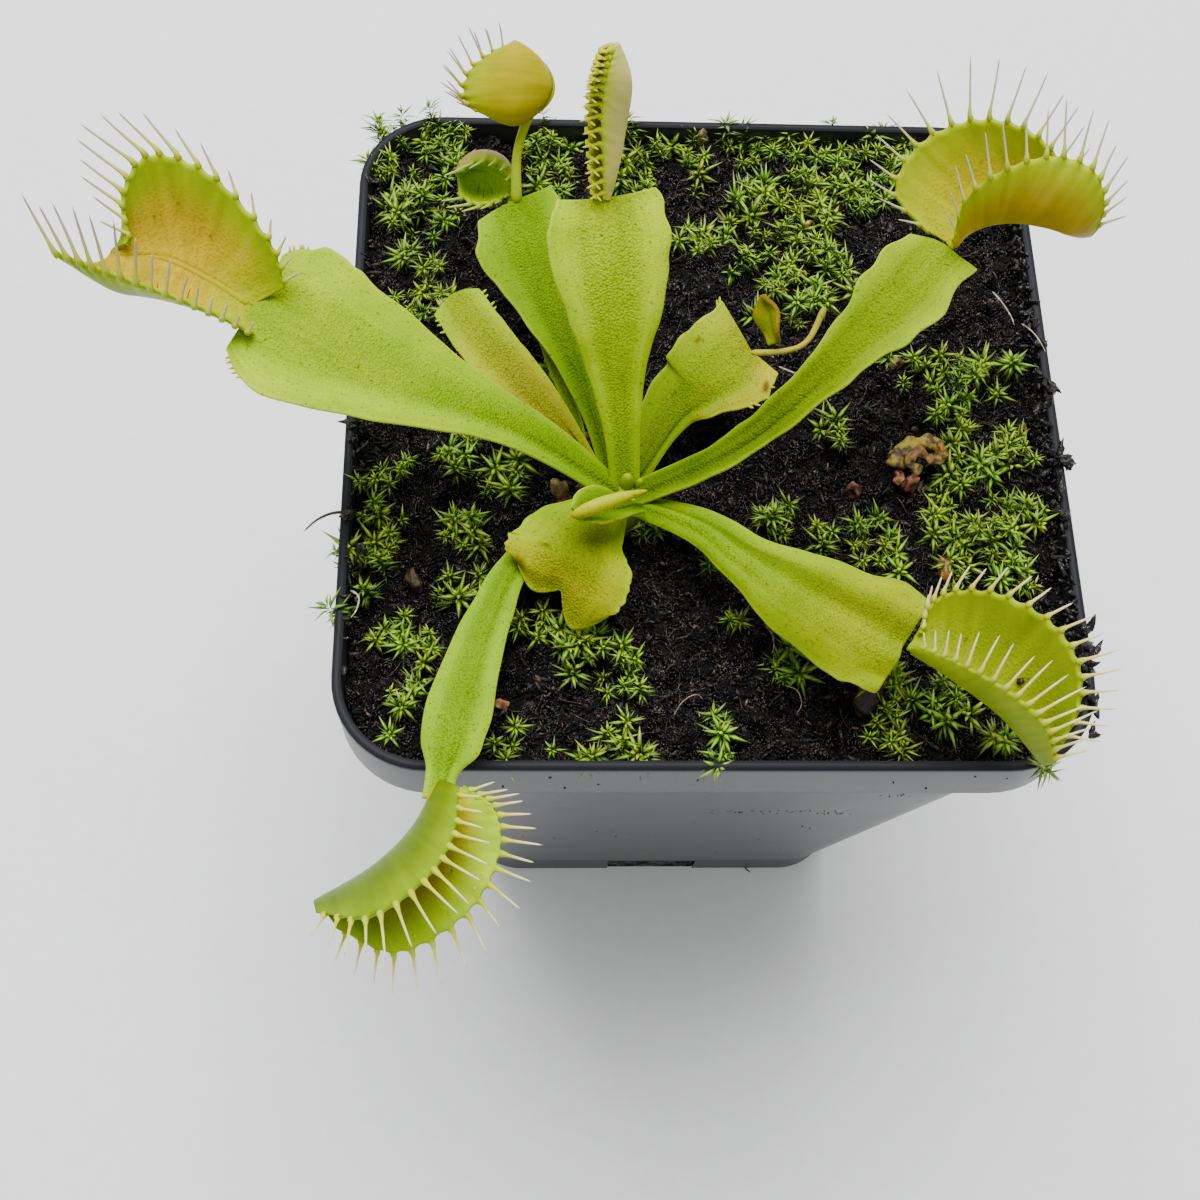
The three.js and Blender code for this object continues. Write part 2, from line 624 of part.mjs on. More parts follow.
// A small dried trap, a bowed leaf-shaped sheet standing on the stalk
function witheredTrap({ tilt: [from, to], width }) {
  const start = vector(from);
  const axis = vector(to).sub(start);
  const side = axis.clone().cross(new THREE.Vector3(0, 1, 0.4)).normalize();
  const face = side.clone().cross(axis).normalize();
  const surface = (s, t) => {
    const v = 2 * s - 1;
    const half = (width / 2) * Math.sin(Math.PI * (0.12 + 0.76 * t)) ** 0.7;
    return start.clone()
      .addScaledVector(axis, t)
      .addScaledVector(side, v * half)
      .addScaledVector(face, 0.8 * (1 - v * v));
  };
  return sheet([4, 5], surface, () => BLADE_THICK);
}

function leaf(form, cut) {
  const bodies = [petiole(form)];
  if (form.stalk) bodies.push(rod(rail(form.stalk), () => RIB_RADIUS, 6));
  if (form.trap) bodies.push(...trap(form.trap));
  if (form.withered_trap) bodies.push(witheredTrap(form.withered_trap));
  if (form.bud) {
    const [from] = form.bud;
    const neck = [form.rows.at(-2).slice(0, 3), form.rows.at(-1).slice(0, 3), from];
    bodies.push(rod(rail(neck), () => RIB_RADIUS, 4));
    bodies.push(bud(form.bud));
  }
  return largest(fuse(bodies).subtract(cut));
}

// A star of moss blades: a low cone whose rim runs out and up to points, and in between them
function tuft(heart, reach, turn) {
  const star = new THREE.ConeGeometry(1, 1, 2 * TUFT_POINTS);
  star.rotateX(Math.PI / 2);
  const { position } = star.attributes;
  for (let i = 0; i < position.count; i += 1) {
    const angle = Math.atan2(position.getY(i), position.getX(i));
    const onRim = Math.hypot(position.getX(i), position.getY(i)) > 0.5;
    const isPoint = Math.round(angle / (Math.PI / TUFT_POINTS)) % 2 === 0;
    if (onRim) {
      const out = reach * (isPoint ? 1 : 0.36);
      position.setXYZ(i, out * Math.cos(angle), out * Math.sin(angle), reach * (isPoint ? 0.62 : 0));
    } else {
      position.setZ(i, position.getZ(i) > 0 ? 0.5 * reach : -TUFT_SINK);
    }
  }
  star.rotateZ(turn);
  star.translate(heart.x, heart.y, heart.z);
  return solid(star);
}

// A patch of star moss, tufts on one low cushion that stands just clear of the soil
function moss({ at: [x, y], spread: [wide, deep], tufts, seed }, ground) {
  const random = randomStream(seed);
  const cushion = new THREE.SphereGeometry(1, 10, 4);
  cushion.rotateX(Math.PI / 2);
  cushion.scale(wide * 0.95, deep * 0.95, CUSHION_HEIGHT);
  cushion.translate(x, y, SOIL_LEVEL + 0.4);
  const bodies = [solid(cushion)];
  for (let i = 0; i < tufts; i += 1) {
    const turn = i * 2.4;
    const out = Math.sqrt((i + 0.5) / tufts);
    const heart = new THREE.Vector3(
      x + wide * 0.9 * out * Math.cos(turn),
      y + deep * 0.9 * out * Math.sin(turn),
      SOIL_LEVEL + 1.6 - 0.7 * out + 0.5 * random(),
    );
    const reach = THREE.MathUtils.lerp(...TUFT_REACH, random());
    bodies.push(tuft(heart, reach, random() * Math.PI));
  }
  return largest(fuse(bodies).subtract(ground));
}

// The dried trap that lies curled on the soil in the east
function fallenTrap(ground) {
  const curl = rail([
    [19.8, -6.2, SOIL_LEVEL + 1.3], [20.9, -4, SOIL_LEVEL + 2], [23, -3.2, SOIL_LEVEL + 1.8],
    [23.6, -5.4, SOIL_LEVEL + 1.5], [22, -6.8, SOIL_LEVEL + 1.4],
  ]);
  return largest(rod(curl, (t) => 0.7 + 0.7 * Math.sin(Math.PI * t), 9).subtract(ground));
}

const plant = new THREE.Group();

function place(name, body, colour, roughness) {
  const material = new THREE.MeshStandardMaterial({ color: colour, roughness, metalness: 0 });
  const mesh = new THREE.Mesh(geometryOf(body), material);
  mesh.name = name;
  plant.add(mesh);
}

const earth = soil();
const ground = earth.translate([0, 0, GAP]);
const head = crown(1.4 * GAP);

place('pot', pot(), POT_GREY, 0.45);
place('soil', earth, SOIL_BROWN, 0.95);
place('crown', crown(), CROWN_GREEN, 0.6);
for (const [name, form] of Object.entries(LEAVES)) {
  place(name, leaf(form, head), form.trap ? TRAP_GREEN : form.colour, 0.5);
}
for (const [name, patch] of Object.entries(MOSS)) {
  place(name, moss(patch, ground), MOSS_GREEN, 0.8);
}
place('fallen_trap', fallenTrap(ground), WITHERED, 0.85);

export default plant;
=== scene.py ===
import math
import random

import bmesh
import bpy
from mathutils import Euler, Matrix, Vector, noise


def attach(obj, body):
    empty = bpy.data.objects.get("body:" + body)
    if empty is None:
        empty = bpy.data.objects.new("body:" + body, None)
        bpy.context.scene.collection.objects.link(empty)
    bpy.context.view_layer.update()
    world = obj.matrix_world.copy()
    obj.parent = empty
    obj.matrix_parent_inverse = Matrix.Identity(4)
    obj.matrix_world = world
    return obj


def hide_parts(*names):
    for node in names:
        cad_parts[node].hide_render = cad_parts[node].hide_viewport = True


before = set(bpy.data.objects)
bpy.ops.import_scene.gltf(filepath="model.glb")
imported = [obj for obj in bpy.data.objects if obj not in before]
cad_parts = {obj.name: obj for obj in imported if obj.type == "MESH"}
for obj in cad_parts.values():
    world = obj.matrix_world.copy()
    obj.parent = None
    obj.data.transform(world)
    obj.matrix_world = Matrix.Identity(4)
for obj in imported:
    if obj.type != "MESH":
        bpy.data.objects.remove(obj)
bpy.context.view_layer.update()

MM = 0.001

# Pot
POT_HEIGHT = 89.0
RIM_WIDTH = 76.0
RIM_DEPTH = 78.0
RIM_TALL = 8.7
RIM_STEP = 1.75
RIM_CORNER = 9.6
BAND = POT_HEIGHT - RIM_TALL
FOOT_WIDTH = 54.6
FOOT_CORNER = 8.6
FOOT_TALL = 8.5
FOOT_STEP = 0.7
WALL = 1.1
FLOOR = 1.4
DRAIN_RADIUS = 3.0
DRAIN_OFFSET = 17.0
NOTCH_WIDTH = 13.0
NOTCH_HEIGHT = 4.8
NOTCH_DEEP = 1.2
# Depth of the dark blocks in the drain notches, painted shade for the hollow behind them
NOTCH_SHADE_DEEP = 0.9
CORNER_STEPS = 12
SIDE_STEPS = 6

# Soil
SOIL_LEVEL = 87.0
SOIL_CELLS = 290
SOIL_MARGIN = 3.0
SOIL_REACH = (36.0, 37.0)
CRUMBS = 6000
RIM_CRUMBS = 380
CRUMB_CLEAR = 0.6
FIBRES = 1100
FIBRE_REACH = (35.5, 36.5)
GAP = 0.15

# Crown
CROWN = Vector((-9.0, -10.0, 0.0))
CROWN_TOP = 90.4
CROWN_FOOT = 84.0
CROWN_RADIUS = 2.6

# Leaves
BLADE_CELLS = (24, 64)
BLADE_THICK = 0.55
MIDRIB_THICK = 0.8
MIDRIB_SHARE = 0.14
MARGIN_THINS = 0.45
LOBE_THICK = 0.55
CELLS_PER_TOOTH = 6
LOBE_CELLS_UP = 14
SCALLOP = 0.45
RIB_RADIUS = 0.5
BUD_RADIUS = 0.95
NIB_RADIUS = 0.26
TOOTH_TIP = 0.04
TOOTH_WEB = 0.24
TOOTH_SINK = 0.7
TRIGGER_LENGTH = 1.3
TRIGGER_RADIUS = 0.07
TOOTH_HUES = "#a0b404 #b0ac60 #a8a084 #988c8c"

# Moss
MOSS_DENSITY = 1.05
MOSS_SHAPES = 8
MOSS_REACH = (35.8, 36.8)
SHOOT_RISE = (0.8, 2.1)
STEM_RADIUS = 0.16

# Stage, in metres, degrees and watts
CAMERA_PLACE = (-0.0189, -0.0809, 0.2316)
CAMERA_TURN = (22.69, -2.65, -0.73)
CAMERA_LENS = 46.25
LAMP_PLACE = (-0.06, 0.32, 0.9)
LAMP_TARGET = (0, 0.08, 0.05)
LAMP_SIZE = 0.7
LAMP_POWER = 20.5
SKY_STRENGTH = 0.72
FLOOR_REACH = 3.0

UP = Vector((0, 0, 1))


# Each petiole is a row of stations from the crown out: x, y, z and the blade's left and right
# half widths there. curl lifts its margins in degrees, at its start and end, and lead pushes the
# end's left and right corners forward, blunt or lobed. ripple waves the margin, folds the blade,
# and crease sinks its middle. hues run along the blade, middle dims its midrib, tan_right dries
# its right side, and each painted light band, a strip of painted highlight or painted shade along
# the blade's folds, has a place across, a width and a change. Each stain has a place, a size and a
# colour, and nibs give a side, where they start and end, and their number.
LEAVES = {
    "leaf_west": dict(
        rows=[(-9.4, -9.6, 89.4, 1.3, 1.3), (-17, -7.5, 96, 2.2, 2.4), (-23.5, -6.5, 101, 3.3, 3.3),
              (-30.5, -5.5, 105, 5.4, 5.8), (-37, -4, 107.5, 7.2, 8), (-41.5, -2, 108.5, 7.6, 8.6),
              (-44.5, -0.5, 109, 5.2, 6.2)],
        curl=(15, 15), lead=(-0.4, 0.2), nibs=[(0, 0.86, 0.97, 5), (1, 0.9, 0.99, 5)],
        hues="#6c9000 #80a200 #8aaa00 #90ae00 #92b000 #90ae00",
    ),
    "leaf_north": dict(
        rows=[(-8.8, -9.2, 89.4, 1.5, 1.5), (-9.5, -5.2, 95, 1.8, 2), (-10.3, -2, 100.5, 2.7, 3),
              (-10.8, 0.6, 106, 4.2, 4.5), (-11.3, 3.8, 110.5, 5.6, 5.7), (-11.6, 6.4, 113, 5.6, 5.7),
              (-12, 8.7, 114, 4.5, 5)],
        curl=(10, 15), lead=(0.3, 0.3), middle=0.92,
        hues="#7c9c00 #98b800 #b0cc02 #b8d004 #acc404 #94ac02",
    ),
    "leaf_north_east": dict(
        rows=[(-8.2, -9.9, 89.4, 1.5, 1.4), (-1.7, -9.3, 95, 1.6, 1.7), (2.8, -8.4, 99.5, 1.7, 1.7),
              (7.2, -5.9, 103.5, 1.9, 2), (11.8, -2.1, 106.5, 2.5, 3), (16.5, 2, 108.5, 4.2, 4.1),
              (21.2, 7.4, 109.5, 3.9, 4.2)],
        # Its bands are a painted highlight along its middle and a strip of painted shade to one side
        curl=(12, 15), lead=(-1.4, -0.5), ripple=0.2, painted_light_bands=[(0.1, 0.25, 0.14), (-0.5, 0.2, -0.12)],
        hues="#567200 #5a7400 #5e7600 #647c00 #789000 #86a000",
    ),
    "leaf_south_east": dict(
        rows=[(-8.0, -10.4, 88.9, 1.3, 1.3), (-1.6, -14.8, 93, 2.3, 2.1), (2.8, -19.5, 95.5, 3.1, 3),
              (7.2, -23, 97, 4.8, 5.1), (11.7, -26, 97.5, 6, 5.9), (14.7, -27.6, 97.5, 6.9, 6.3),
              (17.1, -28.9, 97, 6.7, 5.6)],
        curl=(-20, -40), lead=(0.9, -0.2), folds=0.7, crease=1.1, middle=0.95,
        # Its bands are painted shade in the crease and beside it, a painted highlight on the ridge, and
        # painted shade on the rolled-down margin
        painted_light_bands=[(-0.22, 0.16, -0.36), (0.12, 0.12, 0.2), (0.6, 0.25, -0.16), (0.97, 0.1, -0.3)],
        hues="#6a8a00 #749200 #7e9800 #849200 #869200 #849400",
    ),
    "leaf_south_west": dict(
        rows=[(-11.2, -11.2, 88.7, 1.1, 1.2), (-17, -14.6, 89.9, 1.4, 1.4), (-20.6, -19.1, 91, 1.7, 1.6),
              (-22.5, -24.8, 93.8, 2.3, 2.1), (-24, -30, 94.8, 2.7, 2.7), (-25.2, -35, 95, 3.2, 3.1),
              (-26, -38.4, 94.6, 2.9, 2.7), (-26.5, -40.6, 94.2, 1.5, 1.6),
              (-26.9, -43.4, 94.2, 1.5, 1.5)],
        curl=(-5, -15), lead=(0, 0), hues="#5c7e10 #6c8e10 #74980c #7ca008 #80a402 #86a802",
    ),
    "leaf_north_west": dict(
        rows=[(-10.0, -7.6, 88.5, 1, 1), (-12.2, -1, 90.8, 1.1, 1.4), (-14.5, 5, 93.2, 2.3, 2.4),
              (-17, 10.7, 96, 4.2, 3.5), (-18.8, 15.4, 98, 6, 4.5), (-20.4, 19.3, 99.5, 4.5, 4.4)],
        # Its hues are darker partly as its own colour and partly as painted shade where leaf_north overlaps
        # it
        curl=(5, 10), lead=(-1, 0.3), hues="#567400 #5a7a00 #648602 #6e9004 #789a06",
        stalk=[(-20.2, 18.6, 99.4), (-20.2, 22.3, 102.5), (-19.5, 24.4, 104.4), (-18.6, 26.0, 106.0)],
        stalk_width=1.15,
    ),
    "leaf_small_north_west": dict(
        rows=[(-12.6, -6.2, 87.9, 0.6, 0.6), (-14, 0, 88.4, 0.7, 0.7), (-16.5, 7, 89.6, 0.8, 0.8),
              (-19, 15, 92.5, 0.9, 0.9), (-20.6, 22.6, 96.8, 0.8, 0.8)],
        curl=(5, 5), lead=(0, 0), hues="#5f7e00 #7c9c0c #86a610",
    ),
    "leaf_stub_west": dict(
        rows=[(-11.4, -8.2, 89.6, 0.9, 0.9), (-15.8, -2.9, 92, 1.9, 1.8), (-19.5, 0.8, 93.8, 2.9, 2.6),
              (-23, 4.2, 95.5, 3.1, 2.9), (-26.8, 9.3, 97, 2.9, 2.8)],
        curl=(5, 10), lead=(-1, -1), nibs=[(0, 0.9, 0.99, 3), (1, 0.88, 0.99, 4)],
        hues="#76800c #8e8a1c #96921c #929c14 #8ca010", stains=[((0.62, 0.16), 0.05, "#4a3012")],
    ),
    "leaf_short_north_east": dict(
        rows=[(-8.2, -8.6, 88.7, 1.0, 1.0), (-3.6, -2, 91, 4.2, 1.3), (-0.8, 0.1, 92.8, 5.8, 2.8),
              (2, 2.4, 94.2, 6.3, 5), (4.2, 4.3, 95, 6, 3.9)],
        curl=(5, 10), lead=(1.6, 0.2), blunt=0.9, nibs=[(0, 0.93, 0.99, 2), (1, 0.62, 0.9, 4)],
        hues="#587000 #688202 #788e04 #869804 #909810", tan_right="#a09424",
        stains=[((0.5, 0.55), 0.03, "#7a6c14"), ((0.12, 0.72), 0.02, "#5c4c10"),
                ((0.93, 0.84), 0.04, "#4a3414"), ((0.3, 0.35), 0.02, "#5c6208")],
        stalk=[(3.8, 4, 95), (7.5, 3.7, 96), (9.8, 4.4, 97), (11.5, 7.4, 99)],
        stalk_width=0.7, stalk_hues="#8c9028 #a89838 #aca034 #98942c",
        withered_trap=((6.2, 4.1, 96.4), (4.6, 8.2, 99.2), 3.3),
    ),
    "leaf_broad_south": dict(
        rows=[(-9.8, -10.8, 90.2, 1.6, 1.6), (-13, -15.8, 93.3, 4.2, 5.6), (-14.2, -18.8, 94.2, 6, 7.0),
              (-15.1, -20.8, 93.4, 6.4, 6.9), (-15.7, -21.8, 92.3, 5.2, 4.9)],
        curl=(-10, -13), lead=(3.0, 1.4), lobed=True, crease=0.9, nibs=[(1, 0.8, 0.97, 2)],
        hues="#6c8400 #7c9000 #889404 #8e8e08 #84900a",
        stains=[((0.86, 0.78), 0.06, "#5c5410"), ((0.72, 0.5), 0.03, "#545808")],
    ),
    "leaf_young_centre": dict(
        rows=[(-7.6, -12, 91, 0.9, 0.9), (-9.5, -13.8, 94.8, 1.5, 1.5), (-11.3, -14.8, 96.8, 2.0, 2.3),
              (-13, -15.6, 97.9, 2.1, 2.2), (-14.3, -16.4, 98.3, 1, 0.9)],
        curl=(30, 30), lead=(0, 0), hues="#567400 #5c7c00 #648402",
        bud=[(-14.8, -17.2, 99.6), (-7.3, -14.4, 99.8)],
    ),
}

# Each trap hangs on a rib, and each lobe spans from the rib to its own margin. inside colours the
# core, near end, far end and rim of its inner faces, and outside the core and rim of its backs.
# tooth is the length of its teeth from the petiole to the far end, aim the way that they point
# there, and hair half their thickness. bulge is deepest at bulge_at, and studs are nectar bumps.
TRAPS = {
    "leaf_west": dict(
        rib=[(-44.5, -0.4, 109), (-48.5, 1.2, 111), (-52.2, 1.9, 113), (-56.4, 0.9, 114.5)],
        inside="#a88e12 #9ca204 #a48c10 #92a804", outside="#6f8a14 #90a808", hair=0.19,
        left=dict(
            margin=[(-43.8, -4.2, 110), (-47.5, -4.3, 114), (-51.5, -4.4, 117.5),
                    (-55.8, -3.7, 119.5), (-59.6, -2.5, 120)],
            teeth=15, tooth=(1.2, 2.0, 3.9, 6.0, 5.4), bulge=2.6, bulge_at=0.72,
            aim=[(0.5, 0.5, 0.7), (0.2, 0.5, 0.9), (-0.45, 0.6, 0.7)],
        ),
        right=dict(
            margin=[(-41, 0.8, 110.5), (-42.2, 3.3, 114.5), (-47.2, 7.7, 118),
                    (-52.5, 8.6, 119.5), (-54.8, 5.4, 118), (-54.1, 1.8, 115.5)],
            teeth=17, tooth=(1.6, 2.0, 4.5, 5.2, 2.8), bulge=1.2,
            aim=[(0.9, 0.3, 0.3), (-0.35, 0.8, 0.4), (-0.85, 0.55, 0.3), (-0.9, 0.3, 0.3)],
        ),
    ),
    "leaf_north": dict(
        rib=[(-12, 8.7, 114), (-10.9, 11.3, 119), (-10.3, 13.3, 124), (-11.7, 14.6, 127.5)],
        inside="#a89a10 #9aa60c #98a80c #b4b80a", outside="#bcb86c #c0c834", hair=0.2,
        tooth_hues="#a9b40e #b8b824 #c2c050",
        left=dict(
            margin=[(-13.0, 8.3, 114.5), (-13.6, 9.9, 119), (-13.9, 11.6, 123), (-13.5, 12.5, 126.5),
                    (-12.7, 13.7, 128)],
            teeth=15, tooth=(1.5, 1.7, 1.5, 1.2), bulge=1.0,
            aim=[(0.5, -0.8, 0.2), (0.6, -0.7, 0.3), (0.5, -0.7, 0.6)],
        ),
        right=dict(
            margin=[(-12.0, 8.2, 114.7), (-12.5, 9.8, 119), (-12.8, 11.6, 123.5), (-12.6, 12.3, 126.5),
                    (-12.0, 13.6, 128.2)],
            teeth=15, tooth=(2.0, 2.0, 1.7, 1.2), bulge=1.3,
            aim=[(-0.8, -0.6, 0.1), (-0.9, -0.5, 0.2), (-0.7, -0.6, 0.5)],
        ),
    ),
    "leaf_north_east": dict(
        rib=[(21.4, 7.6, 109.5), (24.6, 8.7, 111.5), (28.9, 8.1, 113), (33.9, 7.9, 112.5)],
        inside="#aca210 #a6a806 #a4a408 #a2ae06", outside="#9c861c #94a404", hair=0.14,
        tooth_hues="#9cac0a #b0ac7c #a9a59c #a09c9c",
        left=dict(
            margin=[(19.2, 8.6, 110), (15.7, 11.2, 112.5), (17.2, 14.2, 115.5), (21.2, 15.3, 118),
                    (25.3, 14.1, 119.5), (28.8, 11.8, 119), (31.4, 9.6, 116)],
            teeth=16, tooth=(2.2, 3.6, 5.2, 5.0, 3.4), bulge=1.2,
            aim=[(-0.95, 0.1, 0.2), (-0.6, 0.6, 0.3), (0.3, 0.75, 0.7), (0.7, 0.55, 0.5)],
        ),
        right=dict(
            margin=[(21.8, 7.2, 110.7), (21.5, 8.0, 116), (24, 8.3, 120), (28.2, 8.6, 121.7),
                    (31.8, 7.6, 121.2), (33.6, 6.1, 118.5), (33.9, 5.4, 115)],
            teeth=16, tooth=(2.0, 3.6, 4.6, 3.4, 2.2), bulge=2.4, bulge_at=0.66,
            aim=[(-0.5, 0.5, 0.5), (-0.25, 0.8, 0.7), (0.2, 0.8, 0.7), (0.95, 0.1, 0.3)],
        ),
    ),
    "leaf_south_east": dict(
        rib=[(17.1, -29.2, 97), (21.4, -32.0, 96.5), (25.5, -35.6, 96.5), (29.1, -40.3, 96)],
        inside="#7e8c02 #8a9a02 #728202 #8c9e04", outside="#7a9006 #889c08", hair=0.17,
        tooth_hues="#a3ae18 #c8c070 #dcd6a8 #d6d0b4",
        left=dict(
            margin=[(18.5, -28.0, 98), (18.8, -25.9, 99.5), (21, -24.9, 101), (24.8, -26.1, 103),
                    (28.8, -29.3, 104), (30.8, -33.3, 104), (30.9, -36.8, 102.5), (29.9, -39.4, 99.5)],
            teeth=19, tooth=(1.8, 2.4, 2.6, 3.4, 2.6), bulge=1.4,
            aim=[(-0.1, 0.8, 0.6), (0.5, 0.6, 0.6), (0.9, 0.15, 0.4), (0.9, -0.35, 0.3)],
        ),
        right=dict(
            margin=[(17.9, -29.6, 98.5), (20.7, -32.5, 101.5), (24.2, -36.2, 104),
                    (26.9, -39.6, 104.5), (28.6, -41.7, 101)],
            teeth=16, tooth=(1.6, 3.0, 4.4, 4.2, 2.4), bulge=0.7,
            aim=[(-0.3, 0.7, 0.6), (0.3, 0.8, 0.6), (0.85, 0.45, 0.5), (0.9, 0.1, 0.4)],
        ),
    ),
    "leaf_south_west": dict(
        rib=[(-26.7, -41.6, 94), (-28.8, -46.2, 94.5), (-32.0, -49.6, 94.5), (-37.4, -52.5, 93)],
        inside="#7e6c0c #b8a014 #5c7a02 #96b604", outside="#586e02 #728c02", hair=0.17,
        tooth_hues="#a3b80c #c8c850 #dcd8a0 #d0ccb0",
        left=dict(
            margin=[(-24.2, -42, 93.5), (-21.4, -43.9, 93.5), (-20.9, -48.2, 93),
                    (-23.8, -53.5, 92.5), (-30, -57, 92), (-35.6, -54.7, 92)],
            teeth=19, tooth=(2, 3.2, 3.4, 3.6, 2.4), bulge=1.3, studs=True,
            aim=[(0.9, 0.3, 0.2), (0.95, -0.15, 0.1), (0.3, -0.9, 0), (-0.4, -0.85, 0)],
        ),
        right=dict(
            margin=[(-24.7, -42.9, 96), (-25.0, -48.4, 100.5), (-27.3, -52.7, 102.5),
                    (-31.9, -55.6, 101.5), (-36.9, -54.1, 96)],
            teeth=15, tooth=(1.6, 3.3, 4.2, 3.4, 2.0), bulge=1.2,
            aim=[(0.9, 0.0, 0.2), (0.85, -0.45, 0), (0.3, -0.9, 0), (-0.6, -0.8, 0)],
        ),
    ),
    "leaf_north_west": dict(
        rib=[(-20.2, 25.6, 105), (-17.8, 25.6, 106.5), (-16.7, 27.1, 107.5), (-17.6, 29.1, 108.5),
             (-20.4, 30.9, 109)],
        inside="#a09c04 #a09c04 #a4a804 #a4ac08", outside="#968a02 #8c9602", hair=0.12,
        tooth_hues="#a09c10 #9c9450 #8c8680 #807c7c",
        left=dict(
            margin=[(-21.1, 25.6, 104.7), (-24.1, 25.1, 106.2), (-25.8, 26, 107.1),
                    (-25.3, 28.2, 108.1), (-23.3, 29.9, 108.6), (-21.1, 31, 108.8)],
            teeth=11, tooth=(1.4, 2.4, 3.4, 2.6), bulge=1.7,
            aim=[(-0.9, -0.1, 0.4), (-0.9, 0.4, 0.4), (-0.5, 0.8, 0.4), (-0.1, 0.95, 0.4)],
        ),
        right=dict(
            margin=[(-21.1, 24.9, 105.5), (-24.1, 24.2, 107.3), (-25.7, 25.1, 108.3),
                    (-25.3, 27.2, 109.3), (-23.3, 29, 109.8), (-21.1, 30.2, 109.6)],
            teeth=11, tooth=(1.0, 2.2, 3.0, 2.2), bulge=1.9,
            aim=[(-0.9, 0.2, 0.4), (-0.8, 0.5, 0.4), (-0.4, 0.85, 0.4), (-0.1, 0.95, 0.4)],
        ),
    ),
    "leaf_small_north_west": dict(
        rib=[(-20.6, 23, 97), (-22.6, 25.2, 96.5), (-24.7, 25.7, 96.5), (-26.5, 24.3, 96.5)],
        inside="#98c004 #a4c804 #88b004 #acc80c", outside="#8c6c24 #8c9c14", hair=0.2,
        tooth_hues="#8cae08 #a4b85c #b0b890",
        left=dict(
            margin=[(-20.8, 22.2, 97), (-22.5, 20.3, 97.6), (-24.6, 19.9, 97.6), (-26.4, 21.7, 97)],
            teeth=6, tooth=(0.5, 0.9, 2.6, 2.4), bulge=1.5,
            aim=[(-0.5, -0.8, 0.2), (-0.8, -0.5, 0.2), (-0.95, -0.2, 0.1)],
        ),
        right=dict(
            margin=[(-20.7, 21.9, 99), (-21.9, 22.8, 101), (-24.2, 22.6, 101.5), (-26.2, 22.7, 99.5)],
            teeth=6, tooth=(0.5, 0.7, 2.0, 2.4), bulge=1.3,
            aim=[(-0.6, -0.5, -0.2), (-0.8, -0.5, -0.2), (-0.95, -0.3, -0.1)],
        ),
    ),
}

# Moss patches. Each has a seed and its clumps: a middle, how far they spread and how many tufts.
MOSS = {
    "moss_north_west": (3, [
        (-37, 33, 0.5, 2), (-33.5, 37.2, 3.2, 10), (-29, 37, 3, 10), (-33.5, 31, 3.6, 11),
        (-30, 27, 3.4, 10), (-28, 33, 2.6, 6), (-30.5, 20.5, 3, 6), (-31.5, 15.8, 2.6, 6),
        (-28, 14.5, 1.6, 3), (-34, 26, 1.6, 3),
    ]),
    "moss_north": (5, [
        (-17, 35.5, 3.4, 12), (-16, 31.5, 2.6, 7), (-7.5, 36, 3.2, 9), (-6.5, 32, 2.4, 6),
        (-1, 36, 3, 6), (0, 33, 2, 3), (0, 24, 2.4, 6), (-15.5, 6.5, 1.8, 3), (-12.8, 3, 1.4, 3),
    ]),
    "moss_north_east": (7, [
        (7, 36.8, 3.4, 10), (14.5, 36, 4.2, 17), (22.5, 35.6, 4, 12), (7.5, 29.5, 3, 8),
        (14, 30, 4, 15), (19.5, 30.5, 3, 8), (5, 23.5, 3.4, 9), (12.5, 23, 4.4, 19),
        (10.5, 16.5, 4, 14), (17, 18.5, 2.4, 5),
    ]),
    "moss_east": (11, [
        (27.5, 6.5, 3.4, 11), (31.5, 5.5, 2.4, 5), (26.8, 1, 2.4, 6), (33, -3.5, 2.6, 7),
        (28, -5.5, 3, 9), (25.5, -11, 3, 8), (32.5, -11, 3.2, 10), (28.5, -14.5, 3.2, 10),
        (32, -17.5, 2.6, 7), (25.5, -17.5, 2.2, 4), (22, 8, 2, 3),
    ]),
    "moss_south_east": (13, [
        (7.5, -11.2, 2, 5), (12, -13, 1.6, 3), (17.5, -14.5, 3.4, 12), (7.3, -27.3, 2, 6),
        (17.5, -30, 2.8, 8), (17, -34.5, 2.4, 6), (23, -32, 2.6, 7), (27.5, -36, 0.7, 2),
        (31.8, -39.4, 0.5, 2), (13.8, -0.8, 1.8, 4), (-0.5, -16.5, 0.5, 1),
    ]),
    "moss_south": (17, [
        (-18, -23.5, 2.2, 6), (-13, -26, 2.6, 9), (-9, -28.5, 2.6, 8), (-10, -34.8, 1.4, 4),
        (-12.8, -37.2, 0.8, 2), (-7.5, -37.2, 0.8, 2), (-16.5, -36.2, 0.4, 1), (-20.8, -36, 1.8, 4),
        (0, -33.6, 1.6, 3), (0.3, -36.4, 0.5, 1), (-0.4, -38.8, 0.3, 1), (2.2, -23, 0.6, 2),
        (-6.8, -12.4, 1.2, 4),
    ]),
    "moss_west": (19, [
        (-33, -6.5, 2, 4), (-35.6, -9.5, 2, 4), (-32.5, -11.5, 2.2, 3), (-26, -4.8, 2.6, 7),
        (-21, -6.5, 2.4, 5), (-25.5, -13, 2.4, 7), (-33.5, -15, 2, 5), (-38.0, -16, 1.0, 4),
        (-38.8, -22.4, 0.5, 1), (-35, -19.7, 0.8, 2), (-25.5, -18.8, 2.4, 6), (-32, -24, 2.2, 5),
        (-29, -26, 1.8, 4), (-31, -31, 2, 4), (-32.4, -35.4, 0.6, 1),
    ]),
}

